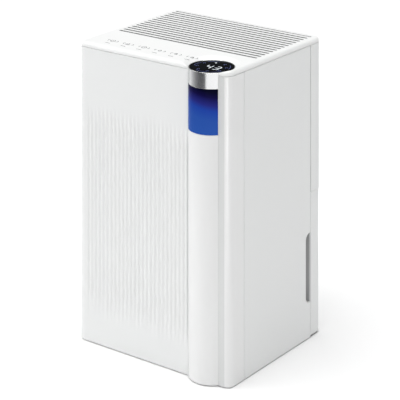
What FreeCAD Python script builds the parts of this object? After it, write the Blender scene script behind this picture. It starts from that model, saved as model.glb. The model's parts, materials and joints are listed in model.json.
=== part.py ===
"""Compressor dehumidifier: upright cabinet with a half-round display column at the front right.

Frame: X to the right, Y to the back, Z up, millimetres.  The origin is on the floor under the
middle of the cabinet.  Every sub-part is an object of one document, bound to the sheet Dims.
"""
import FreeCAD, Part
import math
import os

import Sketcher

V = FreeCAD.Vector

DIMENSIONS = {
    # cabinet
    "total_width": 262.0,
    "total_depth": 238.0,
    "total_height": 420.0,
    "wall": 2.5,
    "corner_radius": 10.8,
    "half_gap": 0.25,
    "foot_height": 1.2,
    "foot_radius": 9.0,
    "foot_inset": 24.0,
    "foot_back_inset": 16.0,
    "foot_peg_radius": 3.0,
    "lid_edge": 6.6,
    "edge_radius": 4.5,
    "front_return": 34.0,
    "rear_return": 28.0,
    "tank_seam": 205.0,
    "tank_cover_step": 0.8,
    # display column
    "column_reach": 12.0,
    "column_radius": 31.7,
    "column_inset": 43.0,
    "column_top": 333.5,
    "column_slot": 27.0,
    "ring_height": 21.6,
    "ring_drop": 3.5,
    "ring_wall": 0.9,
    "glass_drop": 4.0,
    "glass_thickness": 2.5,
    "dish_depth": 3.3,
    "dish_width": 7.5,
    "surround_left": 36.0,
    "surround_back": 38.0,
    "board_thickness": 1.6,
    # flutes of the front panel
    "flute_count": 26.0,
    "flute_pitch": 7.0,
    "flute_width": 3.4,
    "flute_depth": 1.0,
    "flute_start": 119.0,
    "flute_bottom": 60.0,
    "flute_top": 322.0,
    # outlet slots of the top cover
    "slot_count": 15.0,
    "slot_pitch": 9.6,
    "slot_width": 4.2,
    "slot_margin": 10.0,
    "slot_rear": 10.0,
    # finger recess of the side panels
    "recess_width": 12.5,
    "recess_depth": 10.5,
    "recess_low": 51.0,
    "recess_high": 149.0,
    "recess_radius": 9.0,
    "recess_wall": 2.0,
    # rear cover, its screws and the intake
    "intake_half_width": 104.0,
    "intake_low": 224.0,
    "intake_high": 378.0,
    "intake_clearance": 0.4,
    "grille_thickness": 5.2,
    "grille_inset": 0.3,
    "grille_bar": 3.6,
    "grille_pitch": 8.0,
    "grille_border": 8.0,
    "grille_rows": 17.0,
    "filter_thickness": 5.0,
    "filter_margin": 4.0,
    "mesh_thickness": 0.5,
    "screw_across": 120.0,
    "screw_low": 214.0,
    "screw_high": 374.0,
    "boss_radius": 6.0,
    "boss_bore": 4.0,
    "screw_radius": 1.6,
    "screw_head_radius": 3.4,
    # water tank
    "tank_half_width": 116.0,
    "tank_front": 9.0,
    "tank_bottom": 7.0,
    "tank_top": 185.0,
    "tank_wall": 2.2,
    "tank_corner": 9.0,
    "lid_thickness": 3.0,
    "inlet_radius": 15.0,
    "drip_across": 0.0,
    "drip_back": 68.0,
    "level_half_width": 9.0,
    "level_low": 50.0,
    "level_high": 150.0,
    # float in the tank
    "float_pivot_across": -60.0,
    "float_pivot_back": 60.0,
    "float_pivot_up": 172.0,
    "float_pin_radius": 2.0,
    "float_pin_play": 0.05,
    "float_arm": 46.0,
    "float_length": 40.0,
    "float_width": 30.0,
    "float_height": 26.0,
    # chassis
    "pan_floor": 4.8,
    "pan_rim": 16.8,
    "pan_boss_top": 12.0,
    "pan_play": 0.3,
    "bulkhead_front": 3.0,
    "shelf_top": 200.0,
    "shelf_thickness": 3.0,
    # compressor
    "compressor_across": -64.0,
    "compressor_front": 61.0,
    "compressor_radius": 42.0,
    "compressor_low": 24.0,
    "compressor_high": 184.0,
    "compressor_foot": 20.0,
    "bolt_circle": 46.0,
    "stud_radius": 3.0,
    "grommet_radius": 7.0,
    "compressor_dome": 16.0,
    "accumulator_radius": 14.0,
    "accumulator_low": 70.0,
    "accumulator_length": 100.0,
    # blower
    "fan_across": -8.0,
    "fan_up": 298.0,
    "wheel_radius": 70.0,
    "wheel_front": -28.0,
    "wheel_rear": 22.0,
    "blade_count": 36.0,
    "blade_depth": 13.0,
    "scroll_start": 77.0,
    "scroll_end": 104.0,
    "scroll_front": -34.0,
    "scroll_rear": 30.0,
    "scroll_wall": 2.0,
    "scroll_mouth": 384.0,
    "shaft_radius": 4.0,
    "shaft_play": 0.06,
    "motor_radius": 38.0,
    "motor_length": 50.0,
    "bracket_thickness": 6.0,
    "bracket_radius": 50.0,
    "bracket_bolt_circle": 44.0,
    "bracket_screw_radius": 2.0,
    "hub_radius": 12.0,
    "hub_length": 34.0,
    # coils
    "coil_left": -100.0,
    "coil_right": 92.0,
    "coil_low": 217.0,
    "coil_high": 371.0,
    "fin_pitch": 4.0,
    "fin_thickness": 0.4,
    "tube_radius": 3.5,
    "tube_rows": 7.0,
    "evaporator_front": 82.0,
    "evaporator_rear": 103.0,
    "condenser_front": 48.0,
    "condenser_rear": 72.0,
    # drain and cord exits
    "tray_low": 206.0,
    "tray_high": 214.0,
    "drain_across": 88.0,
    "drain_up": 213.0,
    "spout_radius": 6.4,
    "spout_bore": 4.5,
    "plug_play": 0.08,
    "cord_across": -88.0,
    "cord_bore": 3.6,
    "gland_radius": 6.4,
    # copper lines
    "discharge_bend": 9.0,
    "suction_bend": 6.0,
    "liquid_radius": 2.5,
    "liquid_bend": 5.0,
    "drier_radius": 8.0,
    "drier_length": 60.0,
    # electrics
    "control_left": 26.0,
    "control_right": 116.0,
    "control_front": 8.0,
    "control_back": -8.0,
    "control_top": 104.0,
    "capacitor_across": 50.0,
    "capacitor_back": -34.0,
    "capacitor_radius": 15.0,
    "sensor_across": 113.0,
    "sensor_front": 101.0,
    "sensor_up": 315.0,
}

doc = FreeCAD.newDocument("dehumidifier")
sheet = doc.addObject("Spreadsheet::Sheet", "Dims")
for row, (alias, size) in enumerate(DIMENSIONS.items(), start=1):
    sheet.set(f"A{row}", alias)
    sheet.set(f"B{row}", str(size))
    sheet.setAlias(f"B{row}", alias)
doc.recompute()

# places that many sub-parts share, as expressions of the sheet
SIDE = "(Dims.total_width / 2)"
REAR = "(Dims.total_depth / 2)"
FRONT = "(Dims.column_reach - Dims.total_depth / 2)"
FRONT_SEAM = f"({FRONT} + Dims.front_return)"
REAR_SEAM = f"({REAR} - Dims.rear_return)"
LID_SEAM = "(Dims.total_height - Dims.lid_edge)"
PANEL_TOP = f"({LID_SEAM} - 2 * Dims.half_gap)"
COLUMN_X = f"({SIDE} - Dims.column_inset)"
COLUMN_Y = "(Dims.column_radius - Dims.total_depth / 2)"
COLUMN_HALF = "(sqrt(Dims.column_radius ^ 2 - (Dims.column_radius - Dims.column_reach) ^ 2) + 0.3)"
PAN_TOP = "(Dims.foot_height + Dims.pan_floor)"
COVER_SIDE = f"({SIDE} - Dims.tank_cover_step)"
COVER_REAR = f"({REAR} - Dims.tank_cover_step)"
TANK_REAR = f"({COVER_REAR} - Dims.wall)"
GRILLE_REAR = f"({REAR} - Dims.grille_inset)"
GRILLE_FRONT = f"({GRILLE_REAR} - Dims.grille_thickness)"
COMPRESSOR_Y = f"({FRONT} + Dims.compressor_front)"

pieces = []


def number(expression):
    """The value that an expression of the sheet has now."""
    return float(sheet.evalExpression(str(expression)))


def new_body(name):
    body = doc.addObject("PartDesign::Body", name)
    body.Label = name
    pieces.append(body)
    return body


def new_sketch(body, name, plane, offset):
    sketch = body.newObject("Sketcher::SketchObject", name)
    support = [item for item in body.Origin.OriginFeatures if item.Role == plane][0]
    sketch.AttachmentSupport = (support, [""])
    sketch.MapMode = "FlatFace"
    sign = "-" if plane == "XZ_Plane" else ""
    sketch.setExpression("AttachmentOffset.Base.z", f"{sign}({offset})")
    return sketch


def pin_point(sketch, geometry, point, across, up):
    """Tie one point of a sketch to the sheet, measured from the sketch's origin."""
    for kind, expression in (("DistanceX", across), ("DistanceY", up)):
        constraint = Sketcher.Constraint(kind, -1, 1, geometry, point, number(expression))
        index = sketch.addConstraint(constraint)
        sketch.setExpression(f"Constraints[{index}]", str(expression))


def polygon(*corners):
    def draw(sketch):
        points = [V(number(across), number(up), 0) for across, up in corners]
        following = points[1:] + points[:1]
        first = sketch.GeometryCount
        for start, end in zip(points, following):
            sketch.addGeometry(Part.LineSegment(start, end))
        count = len(points)
        for index, (across, up) in enumerate(corners):
            meeting = first + (index + 1) % count
            sketch.addConstraint(Sketcher.Constraint("Coincident", first + index, 2, meeting, 1))
            pin_point(sketch, first + index, 1, across, up)
    return draw


def rectangle(left, right, low, high):
    return polygon((left, low), (right, low), (right, high), (left, high))


def circles(across, up, *radii):
    def draw(sketch):
        centre = V(number(across), number(up), 0)
        for radius in radii:
            circle = Part.Circle(centre, V(0, 0, 1), number(radius))
            geometry = sketch.addGeometry(circle)
            pin_point(sketch, geometry, 3, across, up)
            constraint = Sketcher.Constraint("Radius", geometry, number(radius))
            index = sketch.addConstraint(constraint)
            sketch.setExpression(f"Constraints[{index}]", str(radius))
    return draw


def prism(body, name, plane, draw, start, end, cut=False):
    """Pad (or pocket) of a drawing from start to end along the plane's own axis."""
    sketch = new_sketch(body, name + "_sketch", plane, start)
    draw(sketch)
    kind = "PartDesign::Pocket" if cut else "PartDesign::Pad"
    feature = body.newObject(kind, name)
    feature.Profile = sketch
    feature.setExpression("Length", f"({end}) - ({start})")
    feature.Reversed = cut != (plane == "XZ_Plane")
    return feature


def block(body, name, x, y, z, cut=False):
    return prism(body, name, "XY_Plane", rectangle(*x, *y), *z, cut=cut)


def fillet(body, name, radius, chosen):
    doc.recompute()
    base = body.Tip
    edges = [f"Edge{index}" for index, edge in enumerate(base.Shape.Edges, start=1) if chosen(edge)]
    feature = body.newObject("PartDesign::Fillet", name)
    feature.Base = (base, edges)
    feature.setExpression("Radius", radius)
    return feature


def upright(*places):
    """Chooses the vertical edges that stand at the given places in plan."""
    spots = [(number(x), number(y)) for x, y in places]

    def chosen(edge):
        box = edge.BoundBox
        if box.ZLength < 1.0 or max(box.XLength, box.YLength) > 0.01:
            return False
        return any(math.hypot(box.XMin - x, box.YMin - y) < 0.05 for x, y in spots)
    return chosen


def at_height(height):
    """Chooses every outer edge that lies wholly at one height."""
    def chosen(edge):
        box = edge.BoundBox
        return box.ZLength < 0.01 and abs(box.ZMin - number(height)) < 0.01
    return chosen


def repeat(body, feature, name, axis, span, count):
    pattern = body.newObject("PartDesign::LinearPattern", name)
    pattern.Originals = [feature]
    direction = [item for item in body.Origin.OriginFeatures if item.Role == axis][0]
    pattern.Direction = (direction, [""])
    pattern.setExpression("Length", span)
    pattern.setExpression("Occurrences", count)
    body.Tip = pattern
    return pattern


def shaped(name, shape, placement=FreeCAD.Placement()):
    """A sub-part whose form is worked out from the sheet with Part's own functions."""
    piece = doc.addObject("Part::Feature", name)
    piece.Label = name
    piece.Shape = shape
    piece.Placement = placement
    pieces.append(piece)
    return piece


def box(x, y, z):
    return Part.makeBox(x[1] - x[0], y[1] - y[0], z[1] - z[0], V(x[0], y[0], z[0]))


def bent_tube(points, radius, bend):
    """Round tube along straight runs that tangent arcs join."""
    corners = [V(*point) for point in points]
    edges = []
    start = corners[0]
    for before, corner, after in zip(corners, corners[1:], corners[2:]):
        inward = (before - corner).normalize()
        outward = (after - corner).normalize()
        half = inward.getAngle(outward) / 2
        reach = bend / math.tan(half)
        first = corner + inward * reach
        last = corner + outward * reach
        bisector = (inward + outward).normalize()
        middle = corner + bisector * (bend / math.sin(half) - bend)
        if (first - start).Length > 0.001:
            edges.append(Part.makeLine(start, first))
        edges.append(Part.Arc(first, middle, last).toShape())
        start = last
    edges.append(Part.makeLine(start, corners[-1]))
    path = Part.Wire(edges)
    profile = Part.Wire(Part.makeCircle(radius, corners[0], corners[1] - corners[0]))
    return path.makePipeShell([profile], True, False)


def serpentine(depth, radius):
    """Hairpin tube of a coil: straight passes along X joined by half-round bends."""
    left = number("Dims.coil_left") - 4
    right = number("Dims.coil_right") + 4
    low = number("Dims.coil_low")
    pitch = (number("Dims.coil_high") - low) / number("Dims.tube_rows")
    edges = []
    for index in range(int(number("Dims.tube_rows"))):
        height = low + pitch * (index + 0.5)
        start, end = (left, right) if index % 2 == 0 else (right, left)
        edges.append(Part.makeLine(V(start, depth, height), V(end, depth, height)))
        if index < number("Dims.tube_rows") - 1:
            side = 1 if index % 2 == 0 else -1
            middle = V(end + side * pitch / 2, depth, height + pitch / 2)
            edges.append(Part.Arc(V(end, depth, height), middle, V(end, depth, height + pitch)).toShape())
    profile = Part.Wire(Part.makeCircle(radius, V(left, depth, low + pitch / 2), V(1, 0, 0)))
    return Part.Wire(edges).makePipeShell([profile], True, False)


def fin_stack(front, rear):
    """Thin upright fins with one hole for each pass of the tube."""
    low = number("Dims.coil_low")
    high = number("Dims.coil_high")
    pitch = (high - low) / number("Dims.tube_rows")
    thickness = number("Dims.fin_thickness")
    middle = (front + rear) / 2
    fin = box((0, thickness), (front, rear), (low, high))
    for index in range(int(number("Dims.tube_rows"))):
        centre = V(-1, middle, low + pitch * (index + 0.5))
        fin = fin.cut(Part.makeCylinder(number("Dims.tube_radius"), 3, centre, V(1, 0, 0)))
    left = number("Dims.coil_left") + 3
    span = number("Dims.coil_right") - 3 - left
    count = int(span / number("Dims.fin_pitch"))
    fins = []
    for index in range(count + 1):
        copy = fin.copy()
        copy.translate(V(left + index * number("Dims.fin_pitch"), 0, 0))
        fins.append(copy)
    return Part.makeCompound(fins)


# ---------------------------------------------------------------- cabinet

def make_base_pan():
    body = new_body("base_pan")
    outer = f"({SIDE} - Dims.wall - Dims.pan_play)"
    front = f"({FRONT} + Dims.wall + Dims.pan_play)"
    back = f"({REAR_SEAM} - Dims.half_gap - 1)"
    inner = f"({outer} - Dims.wall)"
    rim_top = "(Dims.foot_height + Dims.pan_rim)"
    block(body, "slab", (f"-{outer}", outer), (front, back), ("Dims.foot_height", rim_top))
    corners = [(f"-{outer}", front), (outer, front)]
    fillet(body, "corners", "Dims.corner_radius - Dims.wall - Dims.pan_play", upright(*corners))
    inner_front = f"({front} + Dims.wall)"
    bay = ((f"-{inner}", inner), (inner_front, f"{back} + 1"), (PAN_TOP, f"{rim_top} + 1"))
    block(body, "bay", *bay, cut=True)
    for index, (x, y) in enumerate(compressor_bolts()):
        prism(body, f"boss{index}", "XY_Plane", circles(x, y, "Dims.grommet_radius"), PAN_TOP, "Dims.pan_boss_top")
    for index, (x, y) in enumerate(compressor_bolts()):
        draw = circles(x, y, "Dims.stud_radius")
        stud_hole = ("Dims.foot_height", "Dims.pan_boss_top + 1")
        prism(body, f"stud_hole{index}", "XY_Plane", draw, *stud_hole, cut=True)
    for index, (x, y) in enumerate(foot_places()):
        draw = circles(x, y, "Dims.foot_peg_radius")
        prism(body, f"foot_hole{index}", "XY_Plane", draw, "Dims.foot_height", f"{PAN_TOP} + 1", cut=True)


def compressor_bolts():
    middle_x = number("Dims.compressor_across")
    middle_y = number(COMPRESSOR_Y)
    reach = number("Dims.bolt_circle")
    bolts = []
    for turn in (30, 150, 270):
        angle = math.radians(turn)
        bolts.append((middle_x + reach * math.cos(angle), middle_y + reach * math.sin(angle)))
    return bolts


def foot_places():
    across = number(f"{SIDE} - Dims.foot_inset")
    front = number(f"{FRONT} + Dims.foot_inset")
    back = number(f"{REAR_SEAM} - Dims.foot_back_inset")
    return [(x, y) for y in (front, back) for x in (-across, across)]


def make_feet():
    height = number("Dims.foot_height")
    peg_radius = number("Dims.foot_peg_radius")
    feet = []
    for x, y in foot_places():
        pad = Part.makeCylinder(number("Dims.foot_radius"), height, V(x, y, 0))
        peg = Part.makeCylinder(peg_radius, number("Dims.pan_floor"), V(x, y, height))
        rounded = pad.makeFillet(0.5, [edge for edge in pad.Edges if edge.BoundBox.ZMax < 0.01])
        feet.append(rounded.fuse(peg).removeSplitter())
    shaped("rubber_feet", Part.makeCompound(feet))


def make_front_panel():
    """Left part of the front with the flutes, folded round the left corner."""
    body = new_body("front_panel")
    edge = f"({COLUMN_X} - Dims.column_slot)"
    back = f"({FRONT_SEAM} - Dims.half_gap)"
    height = ("Dims.foot_height", PANEL_TOP)
    inner = f"(Dims.wall - {SIDE})"
    inner_front = f"({FRONT} + Dims.wall)"
    corners = [(f"-{SIDE}", FRONT), (f"{COLUMN_X} - {COLUMN_HALF}", FRONT), (edge, inner_front)]
    corners += [(edge, back), (f"-{SIDE}", back)]
    prism(body, "slab", "XY_Plane", polygon(*corners), *height)
    block(body, "hollow", (inner, f"{edge} + 1"), (inner_front, f"{back} + 1"), height, cut=True)
    fillet(body, "inner_corner", "Dims.corner_radius - Dims.wall", upright((inner, inner_front)))
    fillet(body, "corner", "Dims.corner_radius", upright((f"-{SIDE}", FRONT)))
    first = f"(Dims.flute_pitch / 2 - Dims.flute_start - Dims.flute_width / 2)"
    draw = rectangle(first, f"{first} + Dims.flute_width", "Dims.flute_bottom", "Dims.flute_top")
    flute = prism(body, "flute", "XZ_Plane", draw, FRONT, f"{FRONT} + Dims.flute_depth", cut=True)
    span = "(Dims.flute_count - 1) * Dims.flute_pitch"
    repeat(body, flute, "flutes", "X_Axis", span, "Dims.flute_count")


def make_column_cover():
    """Half-round column with the strip and side return to its right, in one moulding."""
    body = new_body("column_cover")
    inner_front = f"({FRONT} + Dims.wall)"
    draw = circles(COLUMN_X, COLUMN_Y, "Dims.column_radius", "Dims.column_radius - Dims.wall")
    prism(body, "tube", "XY_Plane", draw, "Dims.foot_height", "Dims.column_top")
    left = f"({COLUMN_X} - Dims.column_radius - 1)"
    right = f"({COLUMN_X} + Dims.column_radius + 1)"
    behind = f"({COLUMN_Y} + Dims.column_radius + 1)"
    column_height = ("Dims.foot_height", "Dims.column_top")
    block(body, "open_back", (left, right), (inner_front, behind), column_height, cut=True)
    bridge = (f"{COLUMN_X} + Dims.column_radius - 6", f"{COLUMN_X} + Dims.column_radius")
    block(body, "bridge", bridge, (FRONT, inner_front), column_height)
    strip_left = f"({COLUMN_X} + Dims.column_slot)"
    back = f"({FRONT_SEAM} - Dims.half_gap)"
    full = ("Dims.foot_height", PANEL_TOP)
    inside = f"({SIDE} - Dims.wall)"
    corners = [(f"{COLUMN_X} + {COLUMN_HALF}", FRONT), (SIDE, FRONT), (SIDE, back), (inside, back)]
    corners += [(inside, inner_front), (strip_left, inner_front)]
    prism(body, "strip", "XY_Plane", polygon(*corners), *full)
    fillet(body, "inner_corner", "Dims.corner_radius - Dims.wall", upright((inside, inner_front)))
    fillet(body, "corner", "Dims.corner_radius", upright((SIDE, FRONT)))


def make_column_top():
    """Lit window, bright ring, glass and boards at the head of the column."""
    inner_front = f"({FRONT} + Dims.wall)"
    ring_top = "(Dims.total_height - Dims.ring_drop)"
    ring_low = f"({ring_top} - Dims.ring_height)"
    window_low = "(Dims.column_top + 0.3)"
    window_high = f"({ring_low} - 0.3)"
    body = new_body("light_window")
    draw = circles(COLUMN_X, COLUMN_Y, "Dims.column_radius", "Dims.column_radius - Dims.wall")
    prism(body, "tube", "XY_Plane", draw, window_low, window_high)
    across = (f"{COLUMN_X} - Dims.column_radius - 1", f"{COLUMN_X} + Dims.column_radius + 1")
    behind = f"({COLUMN_Y} + Dims.column_radius + 1)"
    block(body, "open_back", across, (inner_front, behind), (window_low, window_high), cut=True)

    body = new_body("chrome_ring")
    bore = "(Dims.column_radius - Dims.ring_wall)"
    draw = circles(COLUMN_X, COLUMN_Y, "Dims.column_radius", bore)
    prism(body, "tube", "XY_Plane", draw, ring_low, ring_top)

    body = new_body("display_glass")
    glass_top = "(Dims.total_height - Dims.glass_drop)"
    glass_low = f"({glass_top} - Dims.glass_thickness)"
    prism(body, "disc", "XY_Plane", circles(COLUMN_X, COLUMN_Y, bore), glass_low, glass_top)

    body = new_body("display_board")
    board_low = f"({glass_low} - 8)"
    board_top = f"({board_low} + Dims.board_thickness)"
    prism(body, "board", "XY_Plane", circles(COLUMN_X, COLUMN_Y, f"{bore} - 2"), board_low, board_top)
    module = ((f"{COLUMN_X} - 13", f"{COLUMN_X} + 13"), (f"{COLUMN_Y} - 8", f"{COLUMN_Y} + 8"))
    block(body, "digits", *module, (board_top, f"{glass_low} - 0.5"))

    body = new_body("light_board")
    board_back = f"({FRONT} + 8)"
    board_front = f"({board_back} - Dims.board_thickness)"
    board = (f"{COLUMN_X} - 20", f"{COLUMN_X} + 20")
    block(body, "board", board, (board_front, board_back), (f"{window_low} + 4", f"{window_high} - 4"))
    lamp = (f"{COLUMN_X} - 15", f"{COLUMN_X} - 11")
    low = (f"{window_low} + 10", f"{window_low} + 13")
    high = (f"{window_high} - 13", f"{window_high} - 10")
    for index, height in enumerate((low, high)):
        lens = block(body, f"lamp{index}", lamp, (f"{board_front} - 1.2", board_front), height)
        repeat(body, lens, f"lamps{index}", "X_Axis", "26", "3")


def make_top_cover():
    """Lid with the outlet slots; it stays solid and sinks a little round the display."""
    body = new_body("top_cover")
    outline = ((f"-{SIDE}", SIDE), (FRONT, REAR))
    block(body, "slab", *outline, (LID_SEAM, "Dims.total_height"))
    inside = f"({SIDE} - Dims.wall)"
    inner_front = f"({FRONT} + Dims.wall)"
    inner_rear = f"({REAR} - Dims.wall)"
    surround_left = f"({COLUMN_X} - Dims.surround_left)"
    surround_back = f"({COLUMN_Y} + Dims.surround_back)"
    corners = [(f"-{inside}", inner_front), (surround_left, inner_front), (surround_left, surround_back)]
    corners += [(inside, surround_back), (inside, inner_rear), (f"-{inside}", inner_rear)]
    underside = "(Dims.total_height - Dims.wall)"
    prism(body, "hollow", "XY_Plane", polygon(*corners), LID_SEAM, underside, cut=True)
    rounded = upright(corners[0], corners[4], corners[5])
    fillet(body, "inner_corners", "Dims.corner_radius - Dims.wall", rounded)
    corners = [(f"{sign}{SIDE}", depth) for sign in ("", "-") for depth in (FRONT, REAR)]
    fillet(body, "corners", "Dims.corner_radius", upright(*corners))
    fillet(body, "top_edge", "Dims.edge_radius", at_height("Dims.total_height"))
    hole = "Dims.column_radius + 0.3"
    draw = circles(COLUMN_X, COLUMN_Y, hole)
    prism(body, "display_hole", "XY_Plane", draw, LID_SEAM, "Dims.total_height + 1", cut=True)
    dish = body.newObject("PartDesign::SubtractiveCone", "display_dish")
    plan = [item for item in body.Origin.OriginFeatures if item.Role == "XY_Plane"][0]
    dish.AttachmentSupport = (plan, [""])
    dish.MapMode = "FlatFace"
    dish.setExpression("AttachmentOffset.Base.x", COLUMN_X)
    dish.setExpression("AttachmentOffset.Base.y", COLUMN_Y)
    dish.setExpression("AttachmentOffset.Base.z", "Dims.total_height - Dims.dish_depth")
    dish.setExpression("Radius1", hole)
    dish.setExpression("Radius2", f"{hole} + Dims.dish_width")
    dish.setExpression("Height", "Dims.dish_depth")
    reach = f"({SIDE} - Dims.slot_margin)"
    span = "((Dims.slot_count - 1) * Dims.slot_pitch)"
    first = f"({REAR} - Dims.slot_rear - {span} - Dims.slot_width)"
    opening = ((f"-{reach}", reach), (first, f"{first} + Dims.slot_width"))
    slot = block(body, "slot", *opening, (f"{underside} - 1", "Dims.total_height + 1"), cut=True)
    repeat(body, slot, "slots", "Y_Axis", span, "Dims.slot_count")


def make_touch_board():
    body = new_body("touch_board")
    high = "(Dims.total_height - Dims.wall)"
    across = (f"{COLUMN_X} - 190", f"{COLUMN_X} - 36")
    block(body, "board", across, (f"{FRONT} + 8", f"{FRONT} + 46"), (f"{high} - Dims.board_thickness", high))


def make_side_panel(name, sign):
    """Side wall; its finger recess opens outwards and towards the tank cover behind it."""
    body = new_body(name)

    def across(outer, inner):
        return (outer, inner) if sign > 0 else (f"-({inner})", f"-({outer})")

    front = f"({FRONT_SEAM} + Dims.half_gap)"
    back = f"({REAR_SEAM} - Dims.half_gap)"
    inside = f"({SIDE} - Dims.wall)"
    block(body, "wall_slab", across(inside, SIDE), (front, back), ("Dims.foot_height", PANEL_TOP))
    floor_x = f"({SIDE} - Dims.recess_depth)"
    cup_x = f"({floor_x} - Dims.recess_wall)"
    cup_front = f"({back} - Dims.recess_width - Dims.recess_wall)"
    cup_z = ("Dims.recess_low - Dims.recess_wall", "Dims.recess_high + Dims.recess_wall")
    block(body, "cup", across(cup_x, inside), (cup_front, back), cup_z)
    recess_front = f"({back} - Dims.recess_width)"
    recess = (across(floor_x, f"{SIDE} + 1"), (recess_front, f"{back} + 1"))
    block(body, "recess", *recess, ("Dims.recess_low", "Dims.recess_high"), cut=True)

    def recess_corner(edge):
        bounds = edge.BoundBox
        sideways = bounds.XLength > 1 and max(bounds.YLength, bounds.ZLength) < 0.01
        heights = (number("Dims.recess_low"), number("Dims.recess_high"))
        level = min(abs(bounds.ZMin - height) for height in heights) < 0.01
        return sideways and level and abs(bounds.YMin - number(recess_front)) < 0.01
    fillet(body, "recess_corners", "Dims.recess_radius", recess_corner)
    for index, height in enumerate(("Dims.screw_low", "Dims.screw_high")):
        post_z = (f"{height} - Dims.boss_radius", f"{height} + Dims.boss_radius")
        post_x = across("Dims.screw_across - Dims.boss_radius", inside)
        block(body, f"post{index}", post_x, (f"{back} - 11", back), post_z)
        centre = "Dims.screw_across" if sign > 0 else "-Dims.screw_across"
        draw = circles(centre, height, "Dims.screw_radius")
        prism(body, f"post_bore{index}", "XZ_Plane", draw, f"{back} - 9", f"{back} + 1", cut=True)


def make_rear_cover():
    """Upper back shell with the intake opening, the screw wells and the drain and cord holes."""
    body = new_body("rear_cover")
    front = f"({REAR_SEAM} + Dims.half_gap)"
    height = ("Dims.tank_seam + Dims.half_gap", PANEL_TOP)
    block(body, "slab", (f"-{SIDE}", SIDE), (front, REAR), height)
    inside = f"({SIDE} - Dims.wall)"
    inner_rear = f"({REAR} - Dims.wall)"
    block(body, "hollow", (f"-{inside}", inside), (f"{front} - 1", inner_rear), height, cut=True)
    inner = [(inside, inner_rear), (f"-{inside}", inner_rear)]
    fillet(body, "inner_corners", "Dims.corner_radius - Dims.wall", upright(*inner))
    fillet(body, "corners", "Dims.corner_radius", upright((SIDE, REAR), (f"-{SIDE}", REAR)))
    reach = "Dims.intake_half_width"
    window = rectangle(f"-{reach}", reach, "Dims.intake_low", "Dims.intake_high")
    prism(body, "intake", "XZ_Plane", window, f"{inner_rear} - 1", f"{REAR} + 1", cut=True)
    heights = ("Dims.screw_low", "Dims.screw_high")
    wells = [(f"{sign}Dims.screw_across", up) for sign in ("", "-") for up in heights]
    for index, (x, z) in enumerate(wells):
        draw = circles(x, z, "Dims.boss_radius")
        prism(body, f"boss{index}", "XZ_Plane", draw, front, f"{inner_rear} + 1")
    for index, (x, z) in enumerate(wells):
        draw = circles(x, z, "Dims.boss_bore")
        prism(body, f"well{index}", "XZ_Plane", draw, f"{front} + 4", f"{REAR} + 1", cut=True)
        draw = circles(x, z, "Dims.screw_radius")
        prism(body, f"well_bore{index}", "XZ_Plane", draw, f"{front} - 1", f"{front} + 5", cut=True)
    for name, x in (("drain_hole", "Dims.drain_across"), ("cord_hole", "Dims.cord_across")):
        draw = circles(x, "Dims.drain_up", "Dims.spout_radius")
        prism(body, name, "XZ_Plane", draw, f"{inner_rear} - 1", f"{REAR} + 1", cut=True)


def make_rear_screws():
    seat = number(f"{REAR_SEAM} + Dims.half_gap + 4")
    screws = []
    for x in (-number("Dims.screw_across"), number("Dims.screw_across")):
        for z in (number("Dims.screw_low"), number("Dims.screw_high")):
            head = Part.makeCylinder(number("Dims.screw_head_radius"), 2.4, V(x, seat, z), V(0, 1, 0))
            slots = [box((x - 2, x + 2), (seat + 1.2, seat + 3), (z - 0.4, z + 0.4))]
            slots.append(box((x - 0.4, x + 0.4), (seat + 1.2, seat + 3), (z - 2, z + 2)))
            shank = Part.makeCylinder(number("Dims.screw_radius"), 12, V(x, seat, z), V(0, -1, 0))
            screws.append(head.cut(slots).fuse(shank).removeSplitter())
    shaped("rear_screws", Part.makeCompound(screws))


def make_intake_grille():
    body = new_body("intake_grille")
    reach = "(Dims.intake_half_width - Dims.intake_clearance)"
    low = "(Dims.intake_low + Dims.intake_clearance)"
    high = "(Dims.intake_high - Dims.intake_clearance)"
    prism(body, "plate", "XZ_Plane", rectangle(f"-{reach}", reach, low, high), GRILLE_FRONT, GRILLE_REAR)
    inner = f"({reach} - Dims.grille_border)"
    gap = "(Dims.grille_pitch - Dims.grille_bar)"
    first = f"({low} + Dims.grille_border)"
    draw = rectangle(f"-{inner}", inner, first, f"{first} + {gap}")
    slot = prism(body, "slot", "XZ_Plane", draw, f"{GRILLE_FRONT} - 1", f"{GRILLE_REAR} + 1", cut=True)
    repeat(body, slot, "slots", "Z_Axis", "(Dims.grille_rows - 1) * Dims.grille_pitch", "Dims.grille_rows")
    rib = rectangle("-1.2", "1.2", first, f"{high} - Dims.grille_border")
    prism(body, "rib", "XZ_Plane", rib, GRILLE_FRONT, f"{GRILLE_FRONT} + 3")


def make_filter():
    reach = "(Dims.intake_half_width - Dims.filter_margin)"
    low = "(Dims.intake_low + Dims.filter_margin)"
    high = "(Dims.intake_high - Dims.filter_margin)"
    front = f"({GRILLE_FRONT} - Dims.filter_thickness)"
    body = new_body("filter_frame")
    prism(body, "plate", "XZ_Plane", rectangle(f"-{reach}", reach, low, high), front, GRILLE_FRONT)
    pane = f"(2 * {reach} - 20) / 4"
    first = rectangle(f"4 - {reach}", f"4 - {reach} + {pane}", f"{low} + 4", f"{high} - 4")
    window = prism(body, "pane", "XZ_Plane", first, f"{front} - 1", f"{GRILLE_FRONT} + 1", cut=True)
    repeat(body, window, "panes", "X_Axis", f"3 * ({pane} + 4)", "4")

    body = new_body("filter_mesh")
    sheet_front = f"{front} - Dims.mesh_thickness"
    prism(body, "sheet", "XZ_Plane", rectangle(f"-{reach}", reach, low, high), sheet_front, front)


# ---------------------------------------------------------------- water tank

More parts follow.
